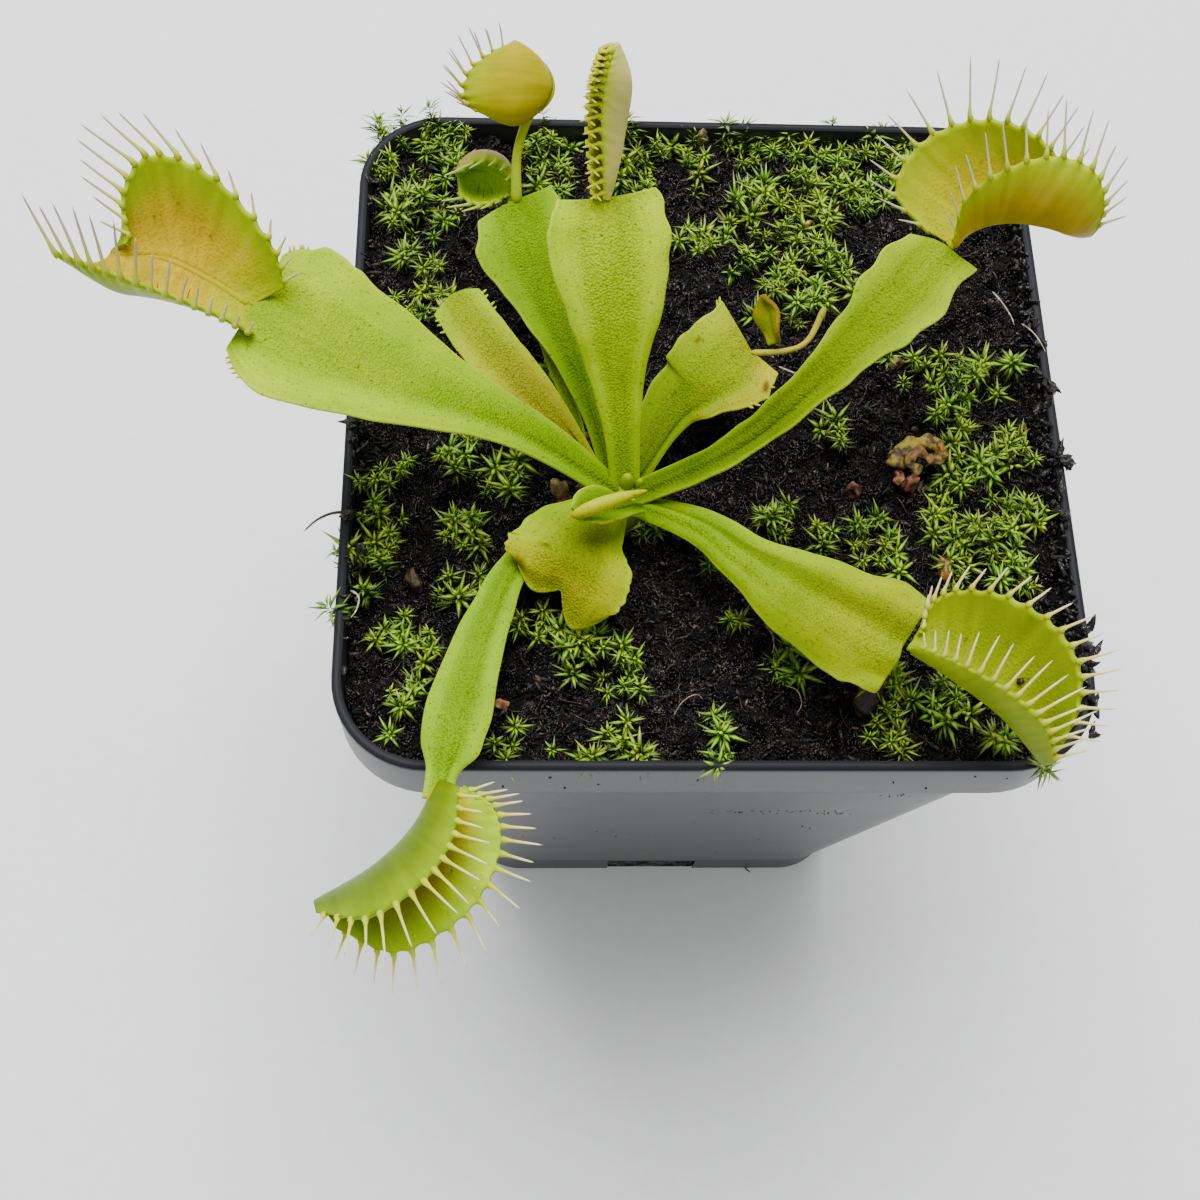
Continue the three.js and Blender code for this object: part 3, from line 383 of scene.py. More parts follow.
# Clods of soil that hang over the rim, each x, y, z and size
RIM_CLODS = [
    (37.2, 9.0, 89.3, 1.1), (37.3, 4.0, 89.3, 1.3), (36.9, 2.2, 89.4, 1.0), (37.4, -4.8, 89.4, 1.6),
    (38.2, -6.0, 89.2, 1.0), (36.9, -8.5, 89.5, 1.3), (37.0, -11.2, 89.4, 1.2),
    (37.4, -24.4, 89.3, 1.4), (37.8, -26.4, 89.2, 1.3), (37.4, -28.2, 89.4, 1.3),
    (37.5, -32.6, 89.3, 1.6), (36.6, -35.2, 89.3, 1.0), (-37.4, -1.6, 89.3, 1.1),
    (-37.0, -3.4, 89.3, 0.9), (-37.0, -12.4, 89.1, 1.3),
]


def smooth(x):
    x = min(max(x, 0.0), 1.0)
    return x * x * (3 - 2 * x)


def bell(x):
    return math.exp(-(x ** 2))


def held(x, y, reach):
    """A place on the soil, held within reach of its middle."""
    return min(max(x, -reach[0]), reach[0]), min(max(y, -reach[1]), reach[1])


def along(values, t):
    """A smooth curve through evenly spaced numbers or vectors."""
    last = len(values) - 1
    place = min(max(t, 0.0), 1.0) * last
    i = min(int(place), last - 1)
    f = place - i
    here = values[i]
    ahead = values[i + 1]
    before = values[i - 1] if i else here * 2 - ahead
    beyond = values[i + 2] if i + 2 <= last else ahead * 2 - here
    cubic = here * 3 - before - ahead * 3 + beyond
    square = before * 2 - here * 5 + ahead * 4 - beyond
    return here + (ahead - before + (square + cubic * f) * f) * (f / 2)


def slope(curve, t):
    step = 0.002
    return (curve(min(t + step, 1.0)) - curve(max(t - step, 0.0))).normalized()


def rail(points):
    vectors = [Vector(point) for point in points]
    return lambda t: along(vectors, t)


def linear(code):
    """An sRGB hex colour as the linear values that a shader or an attribute holds."""
    parts = [int(code[i:i + 2], 16) / 255 for i in (1, 3, 5)]
    return Vector([p / 12.92 if p <= 0.04045 else ((p + 0.055) / 1.055) ** 2.4 for p in parts])


def palette(codes):
    return [linear(code) for code in codes.split()]


def ramp(colours, t):
    """A colour part of the way through a row of evenly spaced ones."""
    place = min(max(t, 0.0), 1.0) * (len(colours) - 1)
    i = min(int(place), len(colours) - 2)
    return colours[i].lerp(colours[i + 1], place - i)


def any_vector(draw, low, high):
    return Vector([draw.uniform(low, high) for _ in range(3)])


def any_turn(draw):
    return Euler(any_vector(draw, 0, math.tau)).to_matrix()


# Materials
def add(tree, kind, inputs=(), stops=(), **settings):
    """One more shader node, with its settings, its inputs set or linked, and a ramp's stops."""
    made = tree.nodes.new(kind)
    for name, value in settings.items():
        setattr(made, name, value)
    for name, value in dict(inputs).items():
        if isinstance(value, bpy.types.NodeSocket):
            tree.links.new(value, made.inputs[name])
        else:
            made.inputs[name].default_value = value
    for i, (place, shade) in enumerate(stops):
        elements = made.color_ramp.elements
        stop = elements[i] if i < len(elements) else elements.new(place)
        stop.position = place
        stop.color = (*shade, 1.0)
    return made


def new_material(name):
    """An empty material, its nodes, and the place on the object that its patterns follow."""
    material = bpy.data.materials.new(name)
    material.use_nodes = True
    tree = material.node_tree
    tree.nodes.clear()
    return material, tree, add(tree, "ShaderNodeTexCoord").outputs["Object"]


def finish_material(material, looks):
    """Adds the shader, each of whose looks is a value or an output that is linked to it."""
    tree = material.node_tree
    shader = add(tree, "ShaderNodeBsdfPrincipled", looks)
    add(tree, "ShaderNodeOutputMaterial", {"Surface": shader.outputs["BSDF"]})
    return material


def mottled(tree, place, scale, detail, *ramps, distortion=0.0):
    """A blotchy pattern: its own values, and then the colours that each ramp gives them."""
    inputs = {"Vector": place, "Scale": scale, "Detail": detail, "Distortion": distortion}
    values = add(tree, "ShaderNodeTexNoise", inputs).outputs["Fac"]
    made = [add(tree, "ShaderNodeValToRGB", {"Fac": values}, stops) for stops in ramps]
    return [values] + [node.outputs["Color"] for node in made]


def streaked(tree, scale, stops):
    """Streaks along a leaf, which follow the places on it."""
    spot = add(tree, "ShaderNodeAttribute", attribute_name="spot").outputs["Vector"]
    place = add(tree, "ShaderNodeMapping", {"Vector": spot, "Scale": scale}).outputs["Vector"]
    return mottled(tree, place, 1.0, 1.0, stops)


def multiplied(tree, shade, *patterns):
    """A colour multiplied by each of the patterns in turn."""
    for pattern in patterns:
        settings = {"data_type": "RGBA", "blend_type": "MULTIPLY"}
        shade = add(tree, "ShaderNodeMix", {0: 1.0, 6: shade, 7: pattern}, **settings).outputs[2]
    return shade


def living_skin(material, place, patterns, cells, dots, bump, looks):
    """Leaf tissue in its own tint, with raised round cells where the tint's alpha is high."""
    tree = material.node_tree
    tint = add(tree, "ShaderNodeAttribute", attribute_name="tint")
    alpha = tint.outputs["Alpha"]
    shade = multiplied(tree, tint.outputs["Color"], *patterns)
    cell = add(tree, "ShaderNodeTexVoronoi", {"Vector": place, "Scale": cells}).outputs["Distance"]
    dotted = add(tree, "ShaderNodeValToRGB", {"Fac": cell}, dots).outputs["Color"]
    mixed = {0: alpha, 6: shade, 7: multiplied(tree, shade, dotted)}
    height = add(tree, "ShaderNodeMath", {0: cell, 1: alpha}, operation="MULTIPLY").outputs[0]
    relief = {"Strength": bump[0], "Distance": bump[1], "Height": height}
    return finish_material(material, {
        "Base Color": add(tree, "ShaderNodeMix", mixed, data_type="RGBA").outputs[2],
        "Normal": add(tree, "ShaderNodeBump", relief, invert=True).outputs["Normal"],
        "Roughness": 0.36,
        "Specular IOR Level": 0.05,
        **looks,
    })


def petiole_skin():
    """Waxy petiole skin: stippled with raised cells along its middle, with fine darker pores,
    smooth towards its margins, and lit a little from within."""
    material, tree, place = new_material("petiole_skin")
    _, blotchy = mottled(tree, place, 220.0, 3.0, [(0.3, (0.8, 0.86, 0.8)), (0.7, (1.12, 1.08, 1.0))])
    _, veined = streaked(tree, (26.0, 1.6, 1.0), [(0.3, (0.9, 0.93, 0.9)), (0.7, (1.08, 1.06, 1.05))])
    _, pores = mottled(tree, place, 3400.0, 1.0, [(0.28, (0.5, 0.56, 0.35)), (0.36, (1, 1, 1))])
    stipple = [(0.1, (1.08, 1.06, 1.0)), (0.65, (0.7, 0.75, 0.5))]
    return living_skin(material, place, [blotchy, veined, pores], 4200.0, stipple, (0.8, 0.00014), {
        "Specular Tint": (*linear("#e8f08c"), 1.0),
        "Subsurface Weight": 0.12,
        "Subsurface Radius": (0.7, 1.0, 0.15),
        "Subsurface Scale": 0.0006,
    })


def trap_skin():
    """Snap trap tissue: thin and satin, ribbed from midrib to margin, and on its inner face
    dotted with digestive glands 0.3 mm apart."""
    material, tree, place = new_material("trap_skin")
    _, ribbed = streaked(tree, (22.0, 1.2, 1.0), [(0.3, (0.86, 0.88, 0.8)), (0.7, (1.12, 1.1, 1.06))])
    _, cloudy = mottled(tree, place, 300.0, 3.0, [(0.3, (0.84, 0.88, 0.84)), (0.7, (1.1, 1.08, 1.02))])
    glands = [(0.16, (0.84, 0.76, 0.6)), (0.4, (1.03, 1.03, 1.03))]
    return living_skin(material, place, [ribbed, cloudy], 3300.0, glands, (0.5, 0.0001), {
        "Specular Tint": (*linear("#e8e88c"), 1.0),
        "Subsurface Weight": 0.15,
        "Subsurface Radius": (0.8, 1.0, 0.15),
        "Subsurface Scale": 0.0005,
    })


def moss_leaf():
    """Thin moss leaves: bright and slightly glossy, paler towards their dry points."""
    material, tree, place = new_material("moss_leaf")
    tint = add(tree, "ShaderNodeAttribute", attribute_name="tint").outputs["Color"]
    _, uneven = mottled(tree, place, 900.0, 1.0, [(0.3, (0.75, 0.8, 0.7)), (0.7, (1.15, 1.12, 1.1))])
    return finish_material(material, {"Base Color": multiplied(tree, tint, uneven), "Roughness": 0.38})


def damp_peat():
    """Damp peat: nearly black, matted with fibres 0.2 mm thick whose paler colour is a painted
    highlight of wet glints, and with wet glints on its finest grains."""
    material, tree, place = new_material("damp_peat")
    _, dark, pale, wet = mottled(
        tree, place, 700.0, 5.0,
        [(0.42, linear("#020101")), (0.6, linear("#0a0706")), (0.74, linear("#221913"))],
        [(0.42, linear("#120e0c")), (0.6, linear("#6c6258"))],
        [(0.4, (0.8, 0.8, 0.8)), (0.6, (0.18, 0.18, 0.18))],
    )
    # The pale colour along these thin strands is painted highlight: wet glints along the peat's fibres
    glinting_strands = [(0.47, (0, 0, 0)), (0.5, (1, 1, 1)), (0.53, (0, 0, 0))]
    _, fibres = mottled(tree, place, 950.0, 1.0, glinting_strands, distortion=1.6)
    shade = add(tree, "ShaderNodeMix", {0: fibres, 6: dark, 7: pale}, data_type="RGBA")
    grit = add(tree, "ShaderNodeTexVoronoi", {"Vector": place, "Scale": 2600.0}).outputs["Distance"]
    relief = {"Strength": 1.0, "Distance": 0.0008, "Height": grit}
    return finish_material(material, {
        "Base Color": shade.outputs[2],
        "Normal": add(tree, "ShaderNodeBump", relief, invert=True).outputs["Normal"],
        "Roughness": wet,
        "Specular IOR Level": 0.2,
    })


def loose_peat():
    """Crumbs and fibres of peat and bark: uneven and wet in places, each in its own colour."""
    material, tree, place = new_material("loose_peat")
    tint = add(tree, "ShaderNodeAttribute", attribute_name="tint").outputs["Color"]
    grain, uneven, wet = mottled(
        tree, place, 2200.0, 3.0,
        [(0.35, (0.4, 0.4, 0.4)), (0.65, (1.25, 1.2, 1.15))],
        [(0.4, (0.8, 0.8, 0.8)), (0.6, (0.2, 0.2, 0.2))],
    )
    relief = {"Strength": 1.0, "Distance": 0.0003, "Height": grain}
    return finish_material(material, {
        "Base Color": multiplied(tree, tint, uneven),
        "Normal": add(tree, "ShaderNodeBump", relief).outputs["Normal"],
        "Roughness": wet,
    })


def moulded_polypropylene():
    """Black injection-moulded polypropylene: a satin skin with faint dust and tiny pits, dulled
    along its lip by soil."""
    material, tree, place = new_material("moulded_polypropylene")
    height = add(tree, "ShaderNodeSeparateXYZ", {"Vector": place}).outputs["Z"]
    lip = {"Value": height, "From Min": 0.0878, "From Max": 0.0887, "To Min": 0.8, "To Max": 0.05}
    _, dusty, satin = mottled(
        tree, place, 60.0, 4.0,
        [(0.3, linear("#1e1e21")), (0.75, linear("#27272b"))],
        [(0.3, (0.36, 0.36, 0.36)), (0.75, (0.42, 0.42, 0.42))],
    )
    pits, = mottled(tree, place, 2600.0, 1.0)
    relief = {"Strength": 0.2, "Distance": 0.00006, "Height": pits}
    return finish_material(material, {
        "Base Color": dusty,
        "Normal": add(tree, "ShaderNodeBump", relief).outputs["Normal"],
        "Roughness": satin,
        "Specular IOR Level": add(tree, "ShaderNodeMapRange", lip).outputs["Result"],
    })


def dried_tissue():
    """Dried leaf tissue and seed coats: brittle and dull, with darker creases."""
    material, tree, place = new_material("dried_tissue")
    tint = add(tree, "ShaderNodeAttribute", attribute_name="tint").outputs["Color"]
    folds, uneven = mottled(
        tree, place, 1100.0, 4.0,
        [(0.4, (0.2, 0.13, 0.08)), (0.54, (0.9, 0.9, 0.9)), (0.7, (1.2, 1.2, 1.15))],
    )
    relief = {"Strength": 1.0, "Distance": 0.0004, "Height": folds}
    return finish_material(material, {
        "Base Color": multiplied(tree, tint, uneven),
        "Normal": add(tree, "ShaderNodeBump", relief).outputs["Normal"],
        "Roughness": 0.6,
    })


def studio_paper():
    """Seamless matt studio paper: pale grey, faintly mottled and without gloss."""
    material, tree, place = new_material("studio_paper")
    _, shade = mottled(tree, place, 400.0, 3.0, [(0.3, linear("#e0e1e2")), (0.7, linear("#e4e5e6"))])
    return finish_material(material, {"Base Color": shade, "Roughness": 0.95})


PETIOLE_SKIN = petiole_skin()
TRAP_SKIN = trap_skin()
MOSS_LEAF = moss_leaf()
PEAT = damp_peat()
LOOSE_PEAT = loose_peat()
PLASTIC = moulded_polypropylene()
DRIED = dried_tissue()


# Meshes
def new_shell():
    """A mesh in the making whose points hold a colour, a place on the leaf and a way out."""
    bm = bmesh.new()
    bm.verts.layers.float_color.new("tint")
    bm.verts.layers.float_vector.new("spot")
    bm.verts.layers.float_vector.new("out")
    return bm


def as_mesh(bm, name):
    mesh = bpy.data.meshes.new(name)
    bm.to_mesh(mesh)
    bm.free()
    return mesh


def new_object(name, data):
    made = bpy.data.objects.new(name, data)
    bpy.context.scene.collection.objects.link(made)
    return made


def finish_piece(bm, name, material, slot, *replaced, subdivide=0):
    """Turns a mesh in millimetres into a piece of the object, in metres."""
    out = bm.verts.layers.float_vector.get("out")
    if out:
        bm.verts.layers.float_vector.remove(out)
    bmesh.ops.recalc_face_normals(bm, faces=bm.faces)
    bmesh.ops.scale(bm, vec=Vector((MM, MM, MM)), verts=bm.verts)
    mesh = as_mesh(bm, name)
    mesh.materials.append(material)
    mesh.shade_smooth()
    piece = new_object(name, mesh)
    if subdivide:
        finer = piece.modifiers.new("finer", "SUBSURF")
        finer.levels = subdivide
        finer.render_levels = subdivide
    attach(piece, "root")
    if replaced:
        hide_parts(*replaced)
    return piece


def grid_verts(bm, across, up):
    return bmesh.ops.create_grid(bm, x_segments=across, y_segments=up, size=0.5)["verts"]


def new_verts(geom):
    return [item for item in geom if isinstance(item, bmesh.types.BMVert)]


def colour(bm, verts, shade):
    tint = bm.verts.layers.float_color["tint"]
    for vert in verts:
        vert[tint] = (*shade, 0.0)


def sheet(bm, cells, surface, thickness, tint):
    """A closed sheet over surface(s, t): a grid put in place and given a second face."""
    shade = bm.verts.layers.float_color["tint"]
    spot = bm.verts.layers.float_vector["spot"]
    out = bm.verts.layers.float_vector["out"]
    upper = grid_verts(bm, *cells)
    for vert in upper:
        vert[spot] = (vert.co.x + 0.5, vert.co.y + 0.5, 0)
        vert.co = surface(vert[spot].x, vert[spot].y)
    faces = list({face for vert in upper for face in vert.link_faces})
    for face in faces:
        face.normal_update()
    for vert in upper:
        vert.normal_update()
        vert[out] = vert.normal * (0.5 * thickness(vert[spot].x, vert[spot].y))
    lower = new_verts(bmesh.ops.extrude_face_region(bm, geom=faces)["geom"])
    for verts, side in ((upper, 1), (lower, -1)):
        for vert in verts:
            vert.co += vert[out] * side
            vert[shade] = tint(vert[spot].x, vert[spot].y, side > 0)


def tube(bm, curve, radius, sides, steps, hues, reference=None, flat=1.0):
    """A tube along curve(t), closed at its ends, in hues along it or in the shades of hues(t)."""
    reference = reference or (curve(1.0) - curve(0.0)).orthogonal()
    verts = grid_verts(bm, sides, steps)
    rings = {}
    for vert in verts:
        rings.setdefault(round(vert.co.y + 0.5, 5), []).append(vert)
    for t, ring in rings.items():
        tangent = slope(curve, t)
        side = tangent.cross(reference).normalized()
        over = side.cross(tangent) * flat
        centre = curve(t)
        reach = 0.0 if t < 0.005 or t > 0.995 else radius(t)
        for vert in ring:
            turn = math.tau * (vert.co.x + 0.5)
            vert.co = centre + (side * math.cos(turn) + over * math.sin(turn)) * reach
        colour(bm, ring, hues(t) if callable(hues) else ramp(hues, t))
    bmesh.ops.remove_doubles(bm, verts=verts, dist=0.002)


def lay(bm, template, place, turn, size, hue):
    """Copies a small shape into a larger mesh, turned, sized, coloured and put in place."""
    shade = bm.verts.layers.float_color["tint"]
    before = len(bm.verts)
    bm.from_mesh(template)
    bm.verts.ensure_lookup_table()
    for vert in bm.verts[before:]:
        vert.co = place + turn @ (vert.co * size)
        old = vert[shade]
        vert[shade] = (old[0] * hue[0], old[1] * hue[1], old[2] * hue[2], 0.0)


# Leaves
def petiole_surface(form):
    rows = form["rows"]
    middle = rail([row[:3] for row in rows])
    left = [row[3] for row in rows]
    right = [row[4] for row in rows]
    away = Vector(rows[0][:3])
    curl, end_curl = form["curl"]
    blunt = form.get("blunt", 1.5)
    folds = form.get("folds", 0.18)
    wave = form.get("ripple", 0.06)
    sunk = form.get("crease", 0)

    def surface(s, t):
        v = 2 * s - 1
        reach = abs(v)
        hand = math.copysign(1, v)
        tangent = slope(middle, t)
        side = tangent.cross(UP).normalized()
        over = side.cross(tangent)
        width = along(left if v < 0 else right, t)
        ripple = noise.noise(away + Vector((14 * t, 3 * hand, 0)))
        width *= 1 + wave * ripple * reach * smooth(t * 4)
        bend = math.radians(curl + (end_curl - curl) * t)
        profile = math.sin(math.pi * reach) if "lobed" in form else reach ** blunt
        lead = form["lead"][0 if v < 0 else 1] * profile * smooth((t - 0.6) / 0.4)
        swell = folds * noise.noise(away + Vector((3 * t, 3 * v, 5))) * smooth(t * 3)
        crease = sunk * bell(v / 0.25) * smooth((t - 0.3) / 0.5)
        return (
            middle(t)
            + side * (width * math.sin(bend * reach) / bend * hand)
            + over * (width * (1 - math.cos(bend * reach)) / bend + swell - crease)
            + tangent * lead
        )

    return surface


def petiole_thickness(s, t):
    keel = bell((s - 0.5) / MIDRIB_SHARE)
    rim = 1 - MARGIN_THINS * smooth((abs(2 * s - 1) - 0.75) / 0.25)
    return BLADE_THICK * rim + MIDRIB_THICK * keel * (1 - 0.75 * t)


def petiole_tint(form):
    hues = palette(form["hues"])
    bright, pale = palette("#8eae00 #a8b82c")
    tan = linear(form["tan_right"]) if "tan_right" in form else None
    dim = form.get("middle", 0.84)
    stains = [(Vector(spot), size, linear(code)) for spot, size, code in form.get("stains", ())]

    def tint(s, t, over):
        v = abs(2 * s - 1)
        shade = ramp(hues, t)
        if tan:
            shade = shade.lerp(tan, 0.7 * smooth((s + 0.5 * t - 0.95) / 0.35))
        shade = shade * (dim + (1.06 - dim) * smooth((v - 0.12) / 0.6))
        # Painted light bands: strips of painted highlight and painted shade along the blade's folds
        for place, width, change in form.get("painted_light_bands", ()):
            shade = shade * (1 + change * bell((2 * s - 1 - place) / width))
        shade = shade.lerp(bright, 0.35 * smooth((v - 0.72) / 0.2) * (0 if tan else 1))
        shade = shade.lerp(pale, 0.6 * smooth((v - 0.95) / 0.05))
        for spot, size, stain in stains:
            shade = shade.lerp(stain, 0.9 * smooth(1.6 - (Vector((s, t)) - spot).length / size))
        grain = 0.25 + 0.75 * (1 - smooth((v - 0.35) / 0.4))
        return (*shade, grain)

    return tint


def spike(bm, root, aim, length, radius, hues, steps=5):
    """A tapered point from root along aim."""

    def taper(t):
        return TOOTH_TIP + (radius - TOOTH_TIP) * (1 - t) ** 0.8

    tube(bm, lambda t: root + aim * (length * t), taper, 5, steps, hues)


def margin_nibs(bm, form, surface, draw):
    """Tiny serrations on the blade's margin."""
    hues = palette("#98b204 #b0b43c")
    for side, first, last, count in form.get("nibs", ()):
        for k in range(count):
            t = first + (last - first) * (k + draw.uniform(0.2, 0.8)) / count
            root = surface(side, t)
            out = (root - surface(0.5 + 0.4 * (side - 0.5), t)).normalized()
            ahead = (surface(side, min(t + 0.02, 1)) - root).normalized()
            aim = (out + ahead * 0.6).normalized()
            spike(bm, root - aim * 0.3, aim, draw.uniform(0.7, 1.0), NIB_RADIUS, hues, 4)


def lobe_surface(rib, form, hand):
    edge = rail(form["margin"])
    peak = math.log(0.5) / math.log(form.get("bulge_at", 0.5))

    def surface(a, b):
        root = rib(a)
        reach = edge(a) - root
        outward = slope(rib, a).cross(reach).normalized()
        lift = math.sin(math.pi * (0.1 + 0.8 * a ** peak))
        belly = form["bulge"] * math.sin(math.pi * b ** 0.8) * lift
        phase = a * form["teeth"] - 0.5
        between = 2 * abs(phase - round(phase))
        notch = SCALLOP * (1 - (1 - between) ** 2) * b ** 9
        return root + reach * b + outward * (hand * belly) - reach.normalized() * notch

    return surface


def lobe_tint(trap, hand):
    core, near, far, rim = palette(trap["inside"])
    back, back_rim = palette(trap["outside"])

    def tint(a, b, over):
        if over != (hand < 0):
            return (*back.lerp(back_rim, smooth((b - 0.55) / 0.4)), 0.15)
        shade = core.lerp(near, smooth((0.42 - a) / 0.4))
        shade = shade.lerp(far, smooth((a - 0.6) / 0.35))
        edge = smooth((b - 0.4) / 0.5)
        return (*shade.lerp(rim, edge), 1 - 0.85 * edge)

    return tint


def add_tooth(bm, surface, a, aim, length, hair, hues, draw):
    """One marginal tooth: a webbed root in the margin and a straight thin bristle."""
    root = surface(a, 1.0)
    inward = (surface(a, 0.86) - root).normalized()
    aim = (aim.normalized() + any_vector(draw, -0.07, 0.07)).normalized()
    start = root + inward * TOOTH_SINK
    sideways = aim.cross(inward).normalized() * (length * draw.uniform(-0.04, 0.04))
    hook = (inward - aim * inward.dot(aim)) * (length * draw.uniform(-0.08, -0.02))

    def centre(t):
        out = max(t - 0.15, 0) / 0.85
        return start.lerp(root, smooth(t / 0.15)) + aim * (length * out) + (sideways + hook) * out ** 2

    def bristle(t):
        thin = TOOTH_TIP + (hair - TOOTH_TIP) * (1 - t) ** 0.6
        return thin + TOOTH_WEB * (1 - smooth(t / 0.34))

    tube(bm, centre, bristle, 6, 10, lambda t: ramp(hues, t * 1.15 - 0.1))


def add_trigger_hairs(bm, surface, hand, draw):
    """The three fine hairs on a lobe's inner face that spring the trap."""
    hues = palette("#8c8418 #5c4814")
    for a, b in ((0.36, 0.42), (0.5, 0.58), (0.64, 0.42)):
        root = surface(a, b)
        along_lobe = surface(a + 0.02, b) - root
        up_lobe = surface(a, b + 0.02) - root
        out = along_lobe.cross(up_lobe).normalized() * -hand
        aim = (out + any_vector(draw, -0.2, 0.2)).normalized()
        spike(bm, root, aim, TRIGGER_LENGTH, TRIGGER_RADIUS, hues)


def add_studs(bm, surface, teeth, draw):
    """Nectar bumps inside a margin, between its teeth."""
    hues = palette("#94b804 #c4c83c")
    for j in range(1, teeth):
        place = surface(j / teeth, draw.uniform(0.8, 0.9))
        bump = bmesh.ops.create_icosphere(bm, subdivisions=1, radius=draw.uniform(0.22, 0.36))["verts"]
        bmesh.ops.translate(bm, verts=bump, vec=place)
        colour(bm, bump, ramp(hues, draw.random()))


def add_lobe(bm, trap, form, hand, draw):
    surface = lobe_surface(rail(trap["rib"]), form, hand)
    teeth = form["teeth"]
    cells = (teeth * CELLS_PER_TOOTH, LOBE_CELLS_UP)
    sheet(bm, cells, surface, lambda a, b: LOBE_THICK * (1.2 - 0.55 * b), lobe_tint(trap, hand))
    aims = rail(form["aim"])
    hues = palette(trap.get("tooth_hues", TOOTH_HUES))
    for j in range(teeth):
        a = (j + 0.5) / teeth
        length = along(form["tooth"], a) * draw.uniform(0.86, 1.1)
        add_tooth(bm, surface, a, aims(a), length, trap["hair"], hues, draw)
    add_trigger_hairs(bm, surface, hand, draw)
    if "studs" in form:
        add_studs(bm, surface, teeth, draw)


def make_trap(name, trap):
    draw = random.Random(name)
    bm = new_shell()
    add_lobe(bm, trap, trap["left"], -1, draw)
    add_lobe(bm, trap, trap["right"], 1, draw)
    core, near, far, _ = palette(trap["inside"])
    tube(bm, rail(trap["rib"]), lambda t: RIB_RADIUS * (1 - 0.4 * t), 10, 24, [near, core, far])
    finish_piece(bm, name + "_snap_trap", TRAP_SKIN, "leaf", name)


def add_stalk(bm, form):
    hues = palette(form.get("stalk_hues", "#8ca414 #98a818 #a0a410"))
    width = form["stalk_width"]

    def radius(t):
        return width * RIB_RADIUS * (1.15 - 0.3 * math.sin(math.pi * t))

    tube(bm, rail(form["stalk"]), radius, 10, 20, hues)


def add_bud(bm, start, end):
    """The youngest trap: still closed, blunt behind and pointed ahead."""
    hues = palette("#989402 #9ca404 #a0a804 #949c02")

    def curve(t):
        return Vector(start).lerp(Vector(end), t) + UP * (0.5 * math.sin(math.pi * t))

    def radius(t):
        return BUD_RADIUS * math.sin(math.pi * min(t, 1)) ** 0.45 * (1 - 0.6 * t)

    tube(bm, curve, radius, 14, 28, hues, UP, 1.2)


def add_withered_trap(bm, start, end, width):
    """A small closed trap that has dried olive, with darker rims."""
    axis = Vector(end) - Vector(start)
    side = axis.cross(Vector((0, 1, 0.4))).normalized()
    face = side.cross(axis).normalized()
    hues = palette("#7c8a10 #8c9410 #848a10 #6c6418")
    rim = linear("#74601c")

    def surface(s, t):
        v = 2 * s - 1
        half = width / 2 * math.sin(math.pi * (0.16 + 0.8 * t)) ** 0.8
        fold = 0.7 * abs(v) - 0.5 * math.sin(7 * t) * v
        return Vector(start) + axis * t + side * (v * half) + face * (0.9 - fold)

    def tint(s, t, over):
        return (*ramp(hues, t).lerp(rim, smooth((abs(2 * s - 1) - 0.8) / 0.2)), 0.3)

    sheet(bm, (16, 18), surface, lambda s, t: 0.45, tint)


def make_leaf(name, form):
    draw = random.Random(name + " blade")
    bm = new_shell()
    surface = petiole_surface(form)
    sheet(bm, BLADE_CELLS, surface, petiole_thickness, petiole_tint(form))
    margin_nibs(bm, form, surface, draw)
    if "stalk" in form:
        add_stalk(bm, form)
    if "bud" in form:
        add_bud(bm, *form["bud"])
    if "withered_trap" in form:
        add_withered_trap(bm, *form["withered_trap"])
    finish_piece(bm, name + "_blade", PETIOLE_SKIN, "leaf", name, subdivide=1)
    if name in TRAPS:
        make_trap(name, TRAPS[name])


# Pot
def rounded_square(k, width, depth, corner):
    """Point k of a square outline with round corners, the same steps on every size."""
    quarter, step = divmod(k, SIDE_STEPS + CORNER_STEPS)
    half = Vector((width / 2, depth / 2)) if quarter % 2 == 0 else Vector((depth / 2, width / 2))
    if step < SIDE_STEPS:
        x = half.x
        y = 2 * (half.y - corner) * step / SIDE_STEPS - (half.y - corner)
    else:
        turn = math.pi / 2 * (step - SIDE_STEPS) / CORNER_STEPS
        x = half.x - corner + corner * math.cos(turn)
        y = half.y - corner + corner * math.sin(turn)
    return [(x, y), (-y, x), (-x, -y), (y, -x)][quarter]


def outline_ring(bm, width, depth, corner, z):
    count = 4 * (SIDE_STEPS + CORNER_STEPS)
    ring = bmesh.ops.create_circle(bm, segments=count, radius=1.0)["verts"]
    for k, vert in enumerate(ring):
        vert.co = (*rounded_square(k, width, depth, corner), z)
    return list({edge for vert in ring for edge in vert.link_edges})


def wall_at(z, inset=0.0):
    """The body's width, depth and corner radius at a height below the rim."""
    share = z / BAND
    width = FOOT_WIDTH + (RIM_WIDTH - 2 * RIM_STEP - FOOT_WIDTH) * share
    foot_depth = FOOT_WIDTH * RIM_DEPTH / RIM_WIDTH
    depth = foot_depth + (RIM_DEPTH - 2 * RIM_STEP - foot_depth) * share
    corner = FOOT_CORNER + (RIM_CORNER - FOOT_CORNER) * share
    return width - 2 * inset, depth - 2 * inset, corner - inset


def rim_at(inset=0.0):
    return RIM_WIDTH - 2 * inset, RIM_DEPTH - 2 * inset, RIM_CORNER - inset


